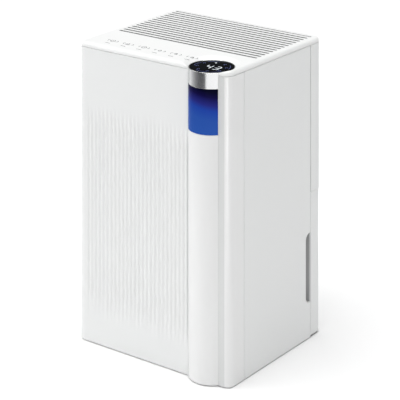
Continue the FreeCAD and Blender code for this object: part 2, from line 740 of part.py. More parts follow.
def make_tank_cover():
    body = new_body("tank_cover")
    front = f"({REAR_SEAM} + Dims.half_gap)"
    height = ("Dims.foot_height + 1", "Dims.tank_seam - Dims.half_gap")
    block(body, "slab", (f"-{COVER_SIDE}", COVER_SIDE), (front, COVER_REAR), height)
    radius = "Dims.corner_radius - Dims.tank_cover_step"
    inside = f"({COVER_SIDE} - Dims.wall)"
    block(body, "hollow", (f"-{inside}", inside), (f"{front} - 1", TANK_REAR), height, cut=True)
    inner = [(inside, TANK_REAR), (f"-{inside}", TANK_REAR)]
    fillet(body, "inner_corners", f"{radius} - Dims.wall", upright(*inner))
    fillet(body, "corners", radius, upright((COVER_SIDE, COVER_REAR), (f"-{COVER_SIDE}", COVER_REAR)))
    reach = "Dims.level_half_width"
    draw = rectangle(f"-{reach}", reach, "Dims.level_low", "Dims.level_high")
    prism(body, "level", "XZ_Plane", draw, f"{TANK_REAR} - 1", f"{COVER_REAR} + 1", cut=True)

    body = new_body("level_window")
    prism(body, "pane", "XZ_Plane", draw, TANK_REAR, COVER_REAR)


def make_tank():
    body = new_body("tank_shell")
    outer = "Dims.tank_half_width"
    height = ("Dims.tank_bottom", "Dims.tank_top")
    block(body, "slab", (f"-{outer}", outer), ("Dims.tank_front", TANK_REAR), height)
    corners = [(f"{sign}{outer}", depth) for sign in ("", "-") for depth in ("Dims.tank_front", TANK_REAR)]
    inner = f"({outer} - Dims.tank_wall)"
    front = "(Dims.tank_front + Dims.tank_wall)"
    back = f"({TANK_REAR} - Dims.tank_wall)"
    hollow = ("Dims.tank_bottom + Dims.tank_wall", "Dims.tank_top + 1")
    block(body, "hollow", (f"-{inner}", inner), (front, back), hollow, cut=True)
    inner_corners = [(f"{sign}{inner}", depth) for sign in ("", "-") for depth in (front, back)]
    fillet(body, "inner_corners", "Dims.tank_corner - Dims.tank_wall", upright(*inner_corners))
    fillet(body, "corners", "Dims.tank_corner", upright(*corners))

    body = new_body("tank_lid")
    top = ("Dims.tank_top", "Dims.tank_top + Dims.lid_thickness")
    block(body, "plate", (f"-{outer}", outer), ("Dims.tank_front", TANK_REAR), top)
    fillet(body, "corners", "Dims.tank_corner", upright(*corners))
    draw = circles("Dims.drip_across", "Dims.drip_back", "Dims.inlet_radius")
    prism(body, "inlet", "XY_Plane", draw, "Dims.tank_top - 1", "Dims.tank_top + 10", cut=True)
    ear_z = ("Dims.float_pivot_up - 5", "Dims.tank_top")
    ear_x = ("Dims.float_pivot_across - 5", "Dims.float_pivot_across + 5")
    for index, side in enumerate(("- 12", "+ 9")):
        ear_y = (f"Dims.float_pivot_back {side}", f"Dims.float_pivot_back {side} + 3")
        block(body, f"ear{index}", ear_x, ear_y, ear_z)
    draw = circles("Dims.float_pivot_across", "Dims.float_pivot_up", "Dims.float_pin_radius")
    across = ("Dims.float_pivot_back - 13", "Dims.float_pivot_back + 13")
    prism(body, "pin_holes", "XZ_Plane", draw, *across, cut=True)


def make_float():
    pivot = ("Dims.float_pivot_across", "Dims.float_pivot_up")
    body = new_body("float_pin")
    ends = ("Dims.float_pivot_back - 12.5", "Dims.float_pivot_back + 12.5")
    prism(body, "rod", "XZ_Plane", circles(*pivot, "Dims.float_pin_radius"), *ends)

    body = new_body("float_lever")
    hub = ("Dims.float_pivot_back - 8.5", "Dims.float_pivot_back + 8.5")
    prism(body, "hub", "XZ_Plane", circles(*pivot, "4.5"), *hub)
    arm_x = (pivot[0], f"{pivot[0]} + Dims.float_arm")
    arm_y = ("Dims.float_pivot_back - 5", "Dims.float_pivot_back + 5")
    arm_z = (f"{pivot[1]} - 3.5", f"{pivot[1]} - 0.5")
    block(body, "arm", arm_x, arm_y, arm_z)
    bore = circles(*pivot, "Dims.float_pin_radius + Dims.float_pin_play")
    prism(body, "bore", "XZ_Plane", bore, f"{hub[0]} - 1", f"{hub[1]} + 1", cut=True)

    body = new_body("float_block")
    block_x = (f"{arm_x[1]} - Dims.float_length / 2", f"{arm_x[1]} + Dims.float_length / 2")
    block_y = ("Dims.float_pivot_back - Dims.float_width / 2", "Dims.float_pivot_back + Dims.float_width / 2")
    block(body, "foam", block_x, block_y, (f"{arm_z[0]} - Dims.float_height", arm_z[0]))

    body = new_body("float_magnet")
    draw = circles(f"{arm_x[1]} + 8", "Dims.float_pivot_back", "5")
    prism(body, "disc", "XY_Plane", draw, arm_z[0], f"{arm_z[0]} + 3")


# ---------------------------------------------------------------- chassis and refrigeration

def make_bulkhead():
    """Wall between machine room and tank bay, with the shelf that carries the coils."""
    body = new_body("bulkhead")
    reach = f"({SIDE} - Dims.wall - Dims.pan_play - Dims.wall - 0.5)"
    back = f"({REAR_SEAM} - 1)"
    front = "Dims.bulkhead_front"
    low_shelf = "(Dims.shelf_top - Dims.shelf_thickness)"
    corners = [(front, PAN_TOP), (f"{front} + Dims.wall", PAN_TOP), (f"{front} + Dims.wall", low_shelf)]
    corners += [(back, low_shelf), (back, "Dims.shelf_top"), (front, "Dims.shelf_top")]
    prism(body, "profile", "YZ_Plane", polygon(*corners), f"-{reach}", reach)
    draw = circles("Dims.drip_across", "Dims.drip_back", "7")
    prism(body, "drip_hole", "XY_Plane", draw, f"{low_shelf} - 1", "Dims.shelf_top + 1", cut=True)
    body = new_body("reed_switch")
    sensor_x = ("Dims.float_pivot_across + Dims.float_arm", "Dims.float_pivot_across + Dims.float_arm + 16")
    sensor_y = ("Dims.float_pivot_back - 6", "Dims.float_pivot_back + 1")
    block(body, "case", sensor_x, sensor_y, (f"{low_shelf} - 6", low_shelf))


def make_compressor():
    """Rotary compressor: domed steel shell on a three-armed foot, with grommets and studs."""
    radius = number("Dims.compressor_radius")
    low = number("Dims.compressor_low")
    high = number("Dims.compressor_high")
    foot = number("Dims.compressor_foot")
    centre = V(number("Dims.compressor_across"), number(COMPRESSOR_Y), 0)
    shell = Part.makeCylinder(radius, high - low, centre + V(0, 0, low))
    shell = shell.makeFillet(number("Dims.compressor_dome"), [edge for edge in shell.Edges if edge.Closed])
    terminal = Part.makeCylinder(11, 7, centre + V(14, 0, high - 2))
    shape = shell.fuse(terminal)
    for x, y in compressor_bolts():
        outward = V(x, y, 0) - centre
        arm = box((0, number("Dims.bolt_circle") + 7), (-9, 9), (foot, foot + 2.5))
        arm.rotate(V(0, 0, 0), V(0, 0, 1), math.degrees(math.atan2(outward.y, outward.x)))
        arm.translate(centre)
        shape = shape.fuse(arm)
    web = Part.makeCylinder(24, low + 4 - foot, centre + V(0, 0, foot))
    shape = shape.fuse(web)
    for x, y in compressor_bolts():
        shape = shape.cut(Part.makeCylinder(number("Dims.stud_radius"), 8, V(x, y, foot - 2)))
    shaped("compressor", shape.removeSplitter())

    grommets = []
    studs = []
    for x, y in compressor_bolts():
        boss = number("Dims.pan_boss_top")
        rubber = Part.makeCylinder(number("Dims.grommet_radius") - 1, foot - boss, V(x, y, boss))
        grommets.append(rubber.cut(Part.makeCylinder(number("Dims.stud_radius"), 20, V(x, y, 5))))
        rod = Part.makeCylinder(number("Dims.stud_radius"), foot + 10 - 4, V(x, y, 4))
        corners = [V(x + 5.5 * math.cos(math.radians(60 * turn)), y + 5.5 * math.sin(math.radians(60 * turn)),
                     foot + 2.5) for turn in range(7)]
        nut = Part.Face(Part.makePolygon(corners)).extrude(V(0, 0, 5))
        studs.append(rod.fuse(nut).removeSplitter())
    shaped("compressor_grommets", Part.makeCompound(grommets))
    shaped("compressor_studs", Part.makeCompound(studs))

    radius = number("Dims.accumulator_radius")
    beside = centre + V(number("Dims.compressor_radius") + radius + 4, 0, 0)
    can_low = number("Dims.accumulator_low")
    can = Part.makeCylinder(radius, number("Dims.accumulator_length"), beside + V(0, 0, can_low))
    can = can.makeFillet(8, [edge for edge in can.Edges if edge.Closed])
    shaped("accumulator", can)


def make_coils():
    radius = number("Dims.tube_radius")
    for name in ("evaporator", "condenser"):
        front = number(f"Dims.{name}_front")
        rear = number(f"Dims.{name}_rear")
        shaped(f"{name}_fins", fin_stack(front, rear))
        shaped(f"{name}_tube", serpentine((front + rear) / 2, radius))

    left = number("Dims.coil_left")
    right = number("Dims.coil_right")
    low = number("Dims.coil_low")
    high = number("Dims.coil_high")
    pitch = (high - low) / number("Dims.tube_rows")
    coils = ("evaporator", "condenser")
    spans = [(number(f"Dims.{name}_front"), number(f"Dims.{name}_rear")) for name in coils]
    plates = []
    for start in (left, right - 1.5):
        plate = box((start, start + 1.5), (spans[1][0], spans[0][1]), (low, high))
        for front, rear in spans:
            for index in range(int(number("Dims.tube_rows"))):
                height = low + pitch * (index + 0.5)
                centre = V(start - 1, (front + rear) / 2, height)
                plate = plate.cut(Part.makeCylinder(radius, 4, centre, V(1, 0, 0)))
        plates.append(plate)
    shaped("coil_end_plates", Part.makeCompound(plates))


def make_pipes():
    """Copper lines between compressor, condenser, drier, evaporator and accumulator."""
    centre_x = number("Dims.compressor_across")
    centre_y = number(COMPRESSOR_Y)
    top = number("Dims.compressor_high")
    left = number("Dims.coil_left") - 4
    right = number("Dims.coil_right") + 4
    low = number("Dims.coil_low")
    high = number("Dims.coil_high")
    pitch = (high - low) / number("Dims.tube_rows")
    condenser_y = number("(Dims.condenser_front + Dims.condenser_rear) / 2")
    evaporator_y = number("(Dims.evaporator_front + Dims.evaporator_rear) / 2")
    first = low + pitch / 2
    last = high - pitch / 2
    radius = number("Dims.tube_radius")
    riser_x = right + radius * 3.2

    start_x = centre_x - 18
    route = [(start_x, centre_y, top), (start_x, centre_y, top + 20), (left - 13, centre_y, top + 20)]
    route += [(left - 13, condenser_y, top + 20), (left - 13, condenser_y, first), (left, condenser_y, first)]
    shaped("discharge_pipe", bent_tube(route, radius, number("Dims.discharge_bend")))

    can_x = centre_x + number("Dims.compressor_radius + Dims.accumulator_radius") + 4
    between = evaporator_y - 15.5
    under_fan = top + 7
    route = [(right, evaporator_y, last), (riser_x, evaporator_y, last), (riser_x, between, last)]
    route += [(riser_x, between, top + 21), (riser_x, -14, top + 21), (riser_x, -14, under_fan)]
    route += [(can_x, -14, under_fan), (can_x, centre_y, under_fan)]
    route += [(can_x, centre_y, number("Dims.accumulator_low + Dims.accumulator_length"))]
    shaped("suction_pipe", bent_tube(route, radius, number("Dims.suction_bend")))

    drier_x = right + 8
    drier_base = V(drier_x, condenser_y - 24, last - 10 - number("Dims.drier_length"))
    drier = Part.makeCylinder(number("Dims.drier_radius"), number("Dims.drier_length"), drier_base)
    drier = drier.makeFillet(4, [edge for edge in drier.Edges if edge.Closed])
    shaped("filter_drier", drier)
    route = [(right, condenser_y, last), (drier_x, condenser_y, last)]
    route += [(drier_x, condenser_y - 24, last), (drier_x, condenser_y - 24, last - 10)]
    shaped("liquid_pipe", bent_tube(route, number("Dims.liquid_radius"), number("Dims.liquid_bend")))


def make_drip_tray():
    body = new_body("drip_tray")
    across = ("Dims.coil_left - 8", "Dims.coil_right + 8")
    depth = ("Dims.condenser_front - 2", "Dims.evaporator_rear + 3")
    height = ("Dims.tray_low", "Dims.tray_high")
    block(body, "slab", across, depth, height)
    inner_x = (f"{across[0]} + 2", f"{across[1]} - 2")
    inner_y = (f"{depth[0]} + 2", f"{depth[1]} - 2")
    block(body, "hollow", inner_x, inner_y, ("Dims.tray_low + 2", "Dims.tray_high + 1"), cut=True)
    spot = ("Dims.drip_across", "Dims.drip_back")
    prism(body, "nipple", "XY_Plane", circles(*spot, "5"), "Dims.tank_top + 6", "Dims.tray_low + 1")
    bore = ("Dims.tank_top + 5", "Dims.tray_low + 3")
    prism(body, "nipple_bore", "XY_Plane", circles(*spot, "3"), *bore, cut=True)
    draw = circles("Dims.drain_across", "Dims.tray_low + 4", "1.8")
    back = "(Dims.evaporator_rear + 3)"
    prism(body, "side_outlet", "XZ_Plane", draw, f"{back} - 3", f"{back} + 1", cut=True)


def make_drain():
    spot = ("Dims.drain_across", "Dims.drain_up")
    start = "(Dims.evaporator_rear + 3)"
    body = new_body("drain_spout")
    prism(body, "tube", "XZ_Plane", circles(*spot, "Dims.spout_radius"), start, f"{REAR} - 0.6")
    prism(body, "bore", "XZ_Plane", circles(*spot, "Dims.spout_bore"), f"{start} + 2", REAR, cut=True)
    draw = circles("Dims.drain_across", "Dims.tray_low + 4", "1.8")
    prism(body, "inlet", "XZ_Plane", draw, f"{start} - 1", f"{start} + 3", cut=True)

    body = new_body("drain_plug")
    shank = circles(*spot, "Dims.spout_bore - Dims.plug_play")
    prism(body, "shank", "XZ_Plane", shank, f"{start} + 4", f"{REAR} - 0.6")
    prism(body, "tab", "XZ_Plane", circles(*spot, "Dims.spout_bore + 1.2"), f"{REAR} - 0.6", REAR)

    body = new_body("cord_gland")
    spot = ("Dims.cord_across", "Dims.drain_up")
    inner_rear = f"({REAR} - Dims.wall)"
    draw = circles(*spot, "Dims.gland_radius")
    prism(body, "nose", "XZ_Plane", draw, inner_rear, REAR)
    draw = circles(*spot, "Dims.gland_radius + 1")
    prism(body, "flange", "XZ_Plane", draw, f"{inner_rear} - 3", inner_rear)
    draw = circles(*spot, "Dims.cord_bore")
    prism(body, "bore", "XZ_Plane", draw, f"{inner_rear} - 4", f"{REAR} + 1", cut=True)


# ---------------------------------------------------------------- blower

def scroll_outline(inset, top):
    """Closed outline of the volute: growing spiral, then the upright mouth on its right."""
    centre_x = number("Dims.fan_across")
    centre_z = number("Dims.fan_up")
    start = number("Dims.scroll_start") - inset
    end = number("Dims.scroll_end") - inset
    first_angle = 60.0
    steps = 25
    points = []
    for step in range(steps + 1):
        share = step / steps
        angle = math.radians(first_angle + share * (360.0 - first_angle))
        radius = start + (end - start) * share
        points.append(V(centre_x + radius * math.cos(angle), 0, centre_z + radius * math.sin(angle)))
    spiral = Part.BSplineCurve()
    spiral.interpolate(points)
    right_top = V(points[-1].x, 0, top)
    left_top = V(points[0].x, 0, top)
    edges = [spiral.toShape(), Part.makeLine(points[-1], right_top)]
    edges += [Part.makeLine(right_top, left_top), Part.makeLine(left_top, points[0])]
    return Part.Face(Part.Wire(edges))


def make_blower():
    front = number("Dims.scroll_front")
    rear = number("Dims.scroll_rear")
    wall = number("Dims.scroll_wall")
    mouth = number("Dims.scroll_mouth")
    axis_x = number("Dims.fan_across")
    axis_z = number("Dims.fan_up")

    def drum(radius, start, end):
        return Part.makeCylinder(radius, end - start, V(axis_x, start, axis_z), V(0, 1, 0))

    outside = scroll_outline(0, mouth)
    outside.translate(V(0, front, 0))
    shell = outside.extrude(V(0, rear - front, 0))
    inside = scroll_outline(wall, mouth + 5)
    inside.translate(V(0, front + wall, 0))
    shell = shell.cut(inside.extrude(V(0, rear - front - 2 * wall, 0)))
    shell = shell.cut(drum(number("Dims.wheel_radius") - 12, rear - wall - 1, rear + 1))
    shell = shell.cut(drum(9, front - 1, front + wall + 1))
    shaped("fan_scroll", shell)

    body = new_body("fan_wheel")
    spot = ("Dims.fan_across", "Dims.fan_up")
    disc_rear = "(Dims.wheel_front + 2)"
    prism(body, "disc", "XZ_Plane", circles(*spot, "Dims.wheel_radius"), "Dims.wheel_front", disc_rear)
    hub_rear = f"({disc_rear} + Dims.hub_length)"
    prism(body, "hub", "XZ_Plane", circles(*spot, "Dims.hub_radius"), disc_rear, hub_rear)
    draw = circles(*spot, "Dims.shaft_radius")
    prism(body, "bore", "XZ_Plane", draw, "Dims.wheel_front - 1", f"{hub_rear} + 1", cut=True)
    hoop = circles(*spot, "Dims.wheel_radius", "Dims.wheel_radius - 4")
    doc.recompute()
    root = "(Dims.wheel_radius - Dims.blade_depth)"
    tip = f"{spot[0]} + Dims.wheel_radius - 0.5"
    blade = rectangle(f"{spot[0]} + {root}", tip, f"{spot[1]} - 0.6", f"{spot[1]} + 0.6")
    vane = prism(body, "blade", "XZ_Plane", blade, "Dims.wheel_front + 1", "Dims.wheel_rear - 1")
    axis = body.newObject("PartDesign::Line", "wheel_axis")
    axis.setExpression("Placement.Base.x", spot[0])
    axis.setExpression("Placement.Base.z", spot[1])
    axis.Placement.Rotation = FreeCAD.Rotation(V(0, 0, 1), V(0, 1, 0))
    ring = body.newObject("PartDesign::PolarPattern", "blades")
    ring.Originals = [vane]
    ring.Axis = (axis, [""])
    ring.setExpression("Occurrences", "Dims.blade_count")
    ring.Angle = 360
    body.Tip = ring
    prism(body, "hoop", "XZ_Plane", hoop, "Dims.wheel_rear - 4", "Dims.wheel_rear")

    body = new_body("fan_shaft")
    draw = circles(*spot, "Dims.shaft_radius")
    prism(body, "rod", "XZ_Plane", draw, "Dims.scroll_front - 30", f"{hub_rear} + 8")
    body = new_body("fan_nut")
    draw = circles(*spot, "7.5", "Dims.shaft_radius")
    prism(body, "nut", "XZ_Plane", draw, hub_rear, f"{hub_rear} + 6")

    plate_front = front - number("Dims.bracket_thickness")
    motor_rear = plate_front
    motor_front = motor_rear - number("Dims.motor_length")
    can = drum(number("Dims.motor_radius"), motor_front, motor_rear)
    rim = [edge for edge in can.Edges if edge.Closed and edge.BoundBox.YMax < motor_front + 1]
    can = can.makeFillet(6, rim)
    play = number("Dims.shaft_radius + Dims.shaft_play")
    shaped("fan_motor", can.cut(drum(play, front - 31, motor_rear + 1)))
    plate = drum(number("Dims.bracket_radius"), plate_front, front)
    plate = plate.cut(drum(9, plate_front - 1, front + 1))
    reach = number("Dims.bracket_bolt_circle")
    bore = number("Dims.bracket_screw_radius")
    screws = []
    for turn in (45, 135, 225, 315):
        x = axis_x + reach * math.cos(math.radians(turn))
        z = axis_z + reach * math.sin(math.radians(turn))
        plate = plate.cut(Part.makeCylinder(bore, 10, V(x, plate_front - 1, z), V(0, 1, 0)))
        shank = Part.makeCylinder(bore, number("Dims.bracket_thickness"), V(x, plate_front, z), V(0, 1, 0))
        head = Part.makeCylinder(4, 2.5, V(x, plate_front - 2.5, z), V(0, 1, 0))
        screws.append(shank.fuse(head).removeSplitter())
    shaped("motor_bracket", plate)
    shaped("motor_screws", Part.makeCompound(screws))


def make_plenum():
    """Open tray under the outlet slots that the blower's mouth blows into."""
    body = new_body("outlet_plenum")
    reach = "(Dims.scroll_end + 20)"
    depth = ("Dims.scroll_front - 3", f"{REAR} - Dims.wall - 1")
    high = "(Dims.total_height - Dims.wall)"
    block(body, "slab", (f"-{reach}", reach), depth, ("Dims.scroll_mouth", high))
    inner_y = (f"{depth[0]} + 2", f"{depth[1]} - 2")
    inner_x = (f"2 - {reach}", f"{reach} - 2")
    block(body, "hollow", inner_x, inner_y, ("Dims.scroll_mouth + 2", f"{high} + 1"), cut=True)
    mouth_left = "(Dims.fan_across + Dims.scroll_start * 0.5 + Dims.scroll_wall)"
    mouth_right = "(Dims.fan_across + Dims.scroll_end - Dims.scroll_wall)"
    mouth_y = ("Dims.scroll_front + Dims.scroll_wall", "Dims.scroll_rear - Dims.scroll_wall")
    through = ("Dims.scroll_mouth - 1", "Dims.scroll_mouth + 3")
    block(body, "mouth", (mouth_left, mouth_right), mouth_y, through, cut=True)


# ---------------------------------------------------------------- electrics

def make_electrics():
    body = new_body("control_box")
    left, right = "Dims.control_left", "Dims.control_right"
    front, back = f"({FRONT} + Dims.control_front)", "Dims.control_back"
    low = f"({PAN_TOP} + 2)"
    block(body, "case", (left, right), (front, back), (low, "Dims.control_top"))
    inner_x = (f"{left} + 2", f"{right} - 2")
    inner_y = (f"{front} + 2", f"{back} - 2")
    block(body, "hollow", inner_x, inner_y, (f"{low} + 2", "Dims.control_top + 1"), cut=True)
    block(body, "stands", inner_x, (f"{back} - 52", f"{back} - 12"), (PAN_TOP, f"{low} + 1"))

    body = new_body("control_board")
    board_low = f"({low} + 10)"
    board_top = f"({board_low} + Dims.board_thickness)"
    block(body, "board", inner_x, inner_y, (board_low, board_top))
    relay = ((f"{left} + 14", f"{left} + 30"), (f"{back} - 62", f"{back} - 50"))
    block(body, "relay", *relay, (board_top, f"{board_top} + 15"))
    supply = ((f"{right} - 46", f"{right} - 16"), (f"{back} - 42", f"{back} - 16"))
    block(body, "supply", *supply, (board_top, f"{board_top} + 20"))

    body = new_body("run_capacitor")
    draw = circles("Dims.capacitor_across", "Dims.capacitor_back", "Dims.capacitor_radius")
    prism(body, "can", "XY_Plane", draw, board_top, f"{board_top} + 56")

    body = new_body("humidity_sensor")
    across, up = "Dims.sensor_across", "Dims.sensor_up"
    card_back = "(Dims.sensor_front + Dims.board_thickness)"
    card = ((f"{across} - 7", f"{across} + 7"), ("Dims.sensor_front", card_back))
    block(body, "card", *card, (f"{up} - 15", f"{up} + 15"))
    cell = ((f"{across} - 4", f"{across} + 4"), (card_back, f"{card_back} + 2.4"))
    block(body, "cell", *cell, (f"{up} - 5", f"{up} + 5"))


def check_document():
    """Stops on a failed feature, an empty or broken shape, or a cut that removes nothing."""
    for item in doc.Objects:
        if "Invalid" in item.State or "Error" in item.State:
            raise RuntimeError(f"{item.Label}: {item.State}")
        if item.TypeId == "PartDesign::Pocket":
            if item.Shape.Volume > item.BaseFeature.Shape.Volume - 0.01:
                raise RuntimeError(f"{item.Label} of {item.BaseFeature.Label} cuts nothing")
    for piece in pieces:
        if piece.Shape.isNull() or not piece.Shape.isValid() or not piece.Shape.Solids:
            raise RuntimeError(f"{piece.Label} has no valid solid")


make_base_pan()
make_feet()
make_front_panel()
make_column_cover()
make_column_top()
make_top_cover()
make_touch_board()
make_side_panel("left_side_panel", -1)
make_side_panel("right_side_panel", 1)
make_rear_cover()
make_rear_screws()
make_intake_grille()
make_filter()
make_tank_cover()
make_tank()
make_float()
make_bulkhead()
make_compressor()
make_coils()
make_pipes()
make_drip_tray()
make_drain()
make_blower()
make_plenum()
make_electrics()

doc.recompute()
check_document()
os.makedirs("parts", exist_ok=True)
for piece in pieces:
    piece.Shape.exportStep(f"parts/{piece.Label}.step")
    print(piece.Label, len(piece.Shape.Solids), round(piece.Shape.Volume))
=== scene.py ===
import json
import math

import bmesh
import bpy
from mathutils import Matrix, Vector


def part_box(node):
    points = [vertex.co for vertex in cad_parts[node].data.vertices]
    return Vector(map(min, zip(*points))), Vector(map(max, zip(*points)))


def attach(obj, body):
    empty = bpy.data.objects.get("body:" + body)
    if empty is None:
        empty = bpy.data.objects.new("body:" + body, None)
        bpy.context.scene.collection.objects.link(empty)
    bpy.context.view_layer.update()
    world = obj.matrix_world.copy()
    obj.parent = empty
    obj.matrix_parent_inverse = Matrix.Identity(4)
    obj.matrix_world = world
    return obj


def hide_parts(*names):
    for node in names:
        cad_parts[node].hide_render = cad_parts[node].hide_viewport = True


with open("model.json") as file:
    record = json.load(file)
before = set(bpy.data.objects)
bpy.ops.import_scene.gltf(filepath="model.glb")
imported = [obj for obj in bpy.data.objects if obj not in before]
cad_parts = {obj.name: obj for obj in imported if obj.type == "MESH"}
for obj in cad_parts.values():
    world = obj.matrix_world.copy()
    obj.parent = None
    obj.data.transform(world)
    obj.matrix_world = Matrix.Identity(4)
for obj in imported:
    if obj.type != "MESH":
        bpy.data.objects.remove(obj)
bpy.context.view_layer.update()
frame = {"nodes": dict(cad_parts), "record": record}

MM = 0.001

# ---------------------------------------------------------------- places taken from the frame
top_low, top_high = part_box("top_cover")
ring_low, ring_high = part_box("chrome_ring")
window_low, window_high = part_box("light_window")
panel_low, panel_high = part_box("front_panel")
strip_low, strip_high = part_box("column_cover")
side_low, side_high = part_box("right_side_panel")
cover_low, cover_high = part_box("rear_cover")
tank_low, tank_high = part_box("tank_cover")
grille_low, grille_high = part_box("intake_grille")
glass_low, glass_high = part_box("display_glass")
level_low, level_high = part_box("level_window")

SIDE = top_high.x
FRONT = top_low.y
REAR = top_high.y
TOP = top_high.z
LID_SEAM = top_low.z
PANEL_LOW = panel_low.z
PANEL_TOP = panel_high.z
COLUMN_X = (ring_low.x + ring_high.x) / 2
COLUMN_Y = (ring_low.y + ring_high.y) / 2
COLUMN_RADIUS = (ring_high.x - ring_low.x) / 2
WALL = 2.5 * MM
GAP = 0.3 * MM
CORNER = 10.8 * MM
EDGE = 0.7 * MM
FINE_EDGE = 0.5 * MM
COLUMN_TOP = window_low.z - GAP
RING_BORE = (glass_high.x - glass_low.x) / 2
SMOOTH_ANGLE = 35.0


# ---------------------------------------------------------------- outlines, in a flat (u, v) plane
SHARPEST_MITRE = 0.4


def arc(u, v, radius, start, end, steps):
    """Points of an arc, angles in degrees, both ends included."""
    points = []
    for step in range(steps + 1):
        angle = math.radians(start + (end - start) * step / steps)
        points.append((u + radius * math.cos(angle), v + radius * math.sin(angle)))
    return points


def rounded_rectangle(left, right, low, high, radius, steps=8):
    """Anticlockwise outline with four round corners."""
    points = arc(right - radius, low + radius, radius, -90, 0, steps)
    points += arc(right - radius, high - radius, radius, 0, 90, steps)
    points += arc(left + radius, high - radius, radius, 90, 180, steps)
    points += arc(left + radius, low + radius, radius, 180, 270, steps)
    return points


def circle(u, v, radius, steps=48):
    return arc(u, v, radius, 0, 360, steps)[:-1]


def shifted(outline, distance):
    """The outline moved inwards by a distance, for an anticlockwise loop."""
    moved = []
    count = len(outline)
    for index, (u, v) in enumerate(outline):
        before = outline[index - 1]
        after = outline[(index + 1) % count]
        first = Vector((u - before[0], v - before[1]))
        second = Vector((after[0] - u, after[1] - v))
        if first.length < 1e-9:
            first = second
        if second.length < 1e-9:
            second = first
        first.normalize()
        second.normalize()
        normal = Vector((-first.y - second.y, first.x + second.x))
        normal.normalize()
        mitre = max(SHARPEST_MITRE, normal.dot(Vector((-first.y, first.x))))
        moved.append((u + normal.x * distance / mitre, v + normal.y * distance / mitre))
    return moved


# ---------------------------------------------------------------- solids
AXES = {
    "x": lambda u, v, w: (w, u, v),
    "y": lambda u, v, w: (u, w, v),
    "z": lambda u, v, w: (u, v, w),
}


def set_shading(mesh_data):
    """Smooth faces with sharp edges above an angle; faces with many corners stay flat."""
    limit = math.radians(SMOOTH_ANGLE)
    for face in mesh_data.faces:
        face.smooth = len(face.verts) < 5
    for edge in mesh_data.edges:
        edge.smooth = not (len(edge.link_faces) == 2 and edge.calc_face_angle(0.0) > limit)


def mesh_object(name, mesh_data):
    """Object from a bmesh, with outward normals and sharp edges above an angle."""
    bmesh.ops.recalc_face_normals(mesh_data, faces=mesh_data.faces)
    set_shading(mesh_data)
    mesh = bpy.data.meshes.new(name)
    mesh_data.to_mesh(mesh)
    mesh_data.free()
    piece = bpy.data.objects.new(name, mesh)
    bpy.context.scene.collection.objects.link(piece)
    return piece


def add_loft(mesh_data, loops, axis="z"):
    """Closed solid through loops, each a pair of a flat outline and its height on the axis."""
    place = AXES[axis]
    rings = []
    for outline, height in loops:
        rings.append([mesh_data.verts.new(place(u, v, height)) for u, v in outline])
    for lower, upper in zip(rings, rings[1:]):
        count = len(lower)
        for index in range(count):
            following = (index + 1) % count
            mesh_data.faces.new((lower[index], lower[following], upper[following], upper[index]))
    mesh_data.faces.new(rings[0])
    mesh_data.faces.new(rings[-1])


def rounded_stations(low, high, low_edge, high_edge, steps=4):
    """Heights with the inset that rounds the two ends of a lofted solid."""
    turns = [math.pi / 2 * step / steps for step in range(steps + 1)]
    stations = []
    if low_edge:
        for turn in reversed(turns):
            stations.append((low + low_edge * (1 - math.sin(turn)), low_edge * (1 - math.cos(turn))))
    else:
        stations.append((low, 0.0))
    if high_edge:
        for turn in turns:
            stations.append((high - high_edge * (1 - math.sin(turn)), high_edge * (1 - math.cos(turn))))
    else:
        stations.append((high, 0.0))
    return stations


def slab(name, outline, low, high, low_edge=0.0, high_edge=0.0, axis="z"):
    """Plate of one outline between two heights, its two rims rounded where an edge is given."""
    mesh_data = bmesh.new()
    stations = rounded_stations(low, high, low_edge, high_edge)
    add_loft(mesh_data, [(shifted(outline, inset), height) for height, inset in stations], axis)
    return mesh_object(name, mesh_data)


def carve(piece, cutters):
    """Cuts the cutters' solids out of the piece and removes them."""
    for cutter in cutters:
        modifier = piece.modifiers.new("cut", "BOOLEAN")
        modifier.operation = "DIFFERENCE"
        modifier.solver = "EXACT"
        modifier.object = cutter
    bpy.context.view_layer.update()
    evaluated = piece.evaluated_get(bpy.context.evaluated_depsgraph_get())
    mesh = bpy.data.meshes.new_from_object(evaluated)
    piece.modifiers.clear()
    piece.data = mesh
    for cutter in cutters:
        bpy.data.objects.remove(cutter)
    mesh_data = bmesh.new()
    mesh_data.from_mesh(piece.data)
    bmesh.ops.remove_doubles(mesh_data, verts=mesh_data.verts, dist=1e-6)
    bmesh.ops.recalc_face_normals(mesh_data, faces=mesh_data.faces)
    set_shading(mesh_data)
    mesh_data.to_mesh(piece.data)
    mesh_data.free()


def flared_cutter(outlines, mouth, depth, edge, axis):
    """Cutters down the axis from the mouth into a wall, whose outer rim they round off."""
    mesh_data = bmesh.new()
    steps = 4
    for outline in outlines:
        loops = [(shifted(outline, -edge), mouth + 2 * MM)]
        for step in range(steps + 1):
            angle = math.pi / 2 * step / steps
            flare = edge * (1 - math.sin(angle))
            loops.append((shifted(outline, -flare), mouth - edge * (1 - math.cos(angle))))
        loops.append((outline, mouth - depth))
        add_loft(mesh_data, loops, axis)
    return mesh_object("cutter", mesh_data)


def even_normals(piece):
    """Shading normals weighted by face size, so flat faces look flat up to their rounded edges."""
    modifier = piece.modifiers.new("even_normals", "WEIGHTED_NORMAL")
    modifier.keep_sharp = True
    modifier.weight = 80
    return piece


def join(name, parts):
    """One object from several meshes."""
    mesh_data = bmesh.new()
    for part in parts:
        mesh_data.from_mesh(part.data)
        bpy.data.objects.remove(part)
    set_shading(mesh_data)
    mesh = bpy.data.meshes.new(name)
    mesh_data.to_mesh(mesh)
    mesh_data.free()
    piece = bpy.data.objects.new(name, mesh)
    bpy.context.scene.collection.objects.link(piece)
    return piece


# ---------------------------------------------------------------- materials
def new_material(name):
    material = bpy.data.materials.new(name)
    material.use_nodes = True
    tree = material.node_tree
    return material, tree, tree.nodes["Principled BSDF"]


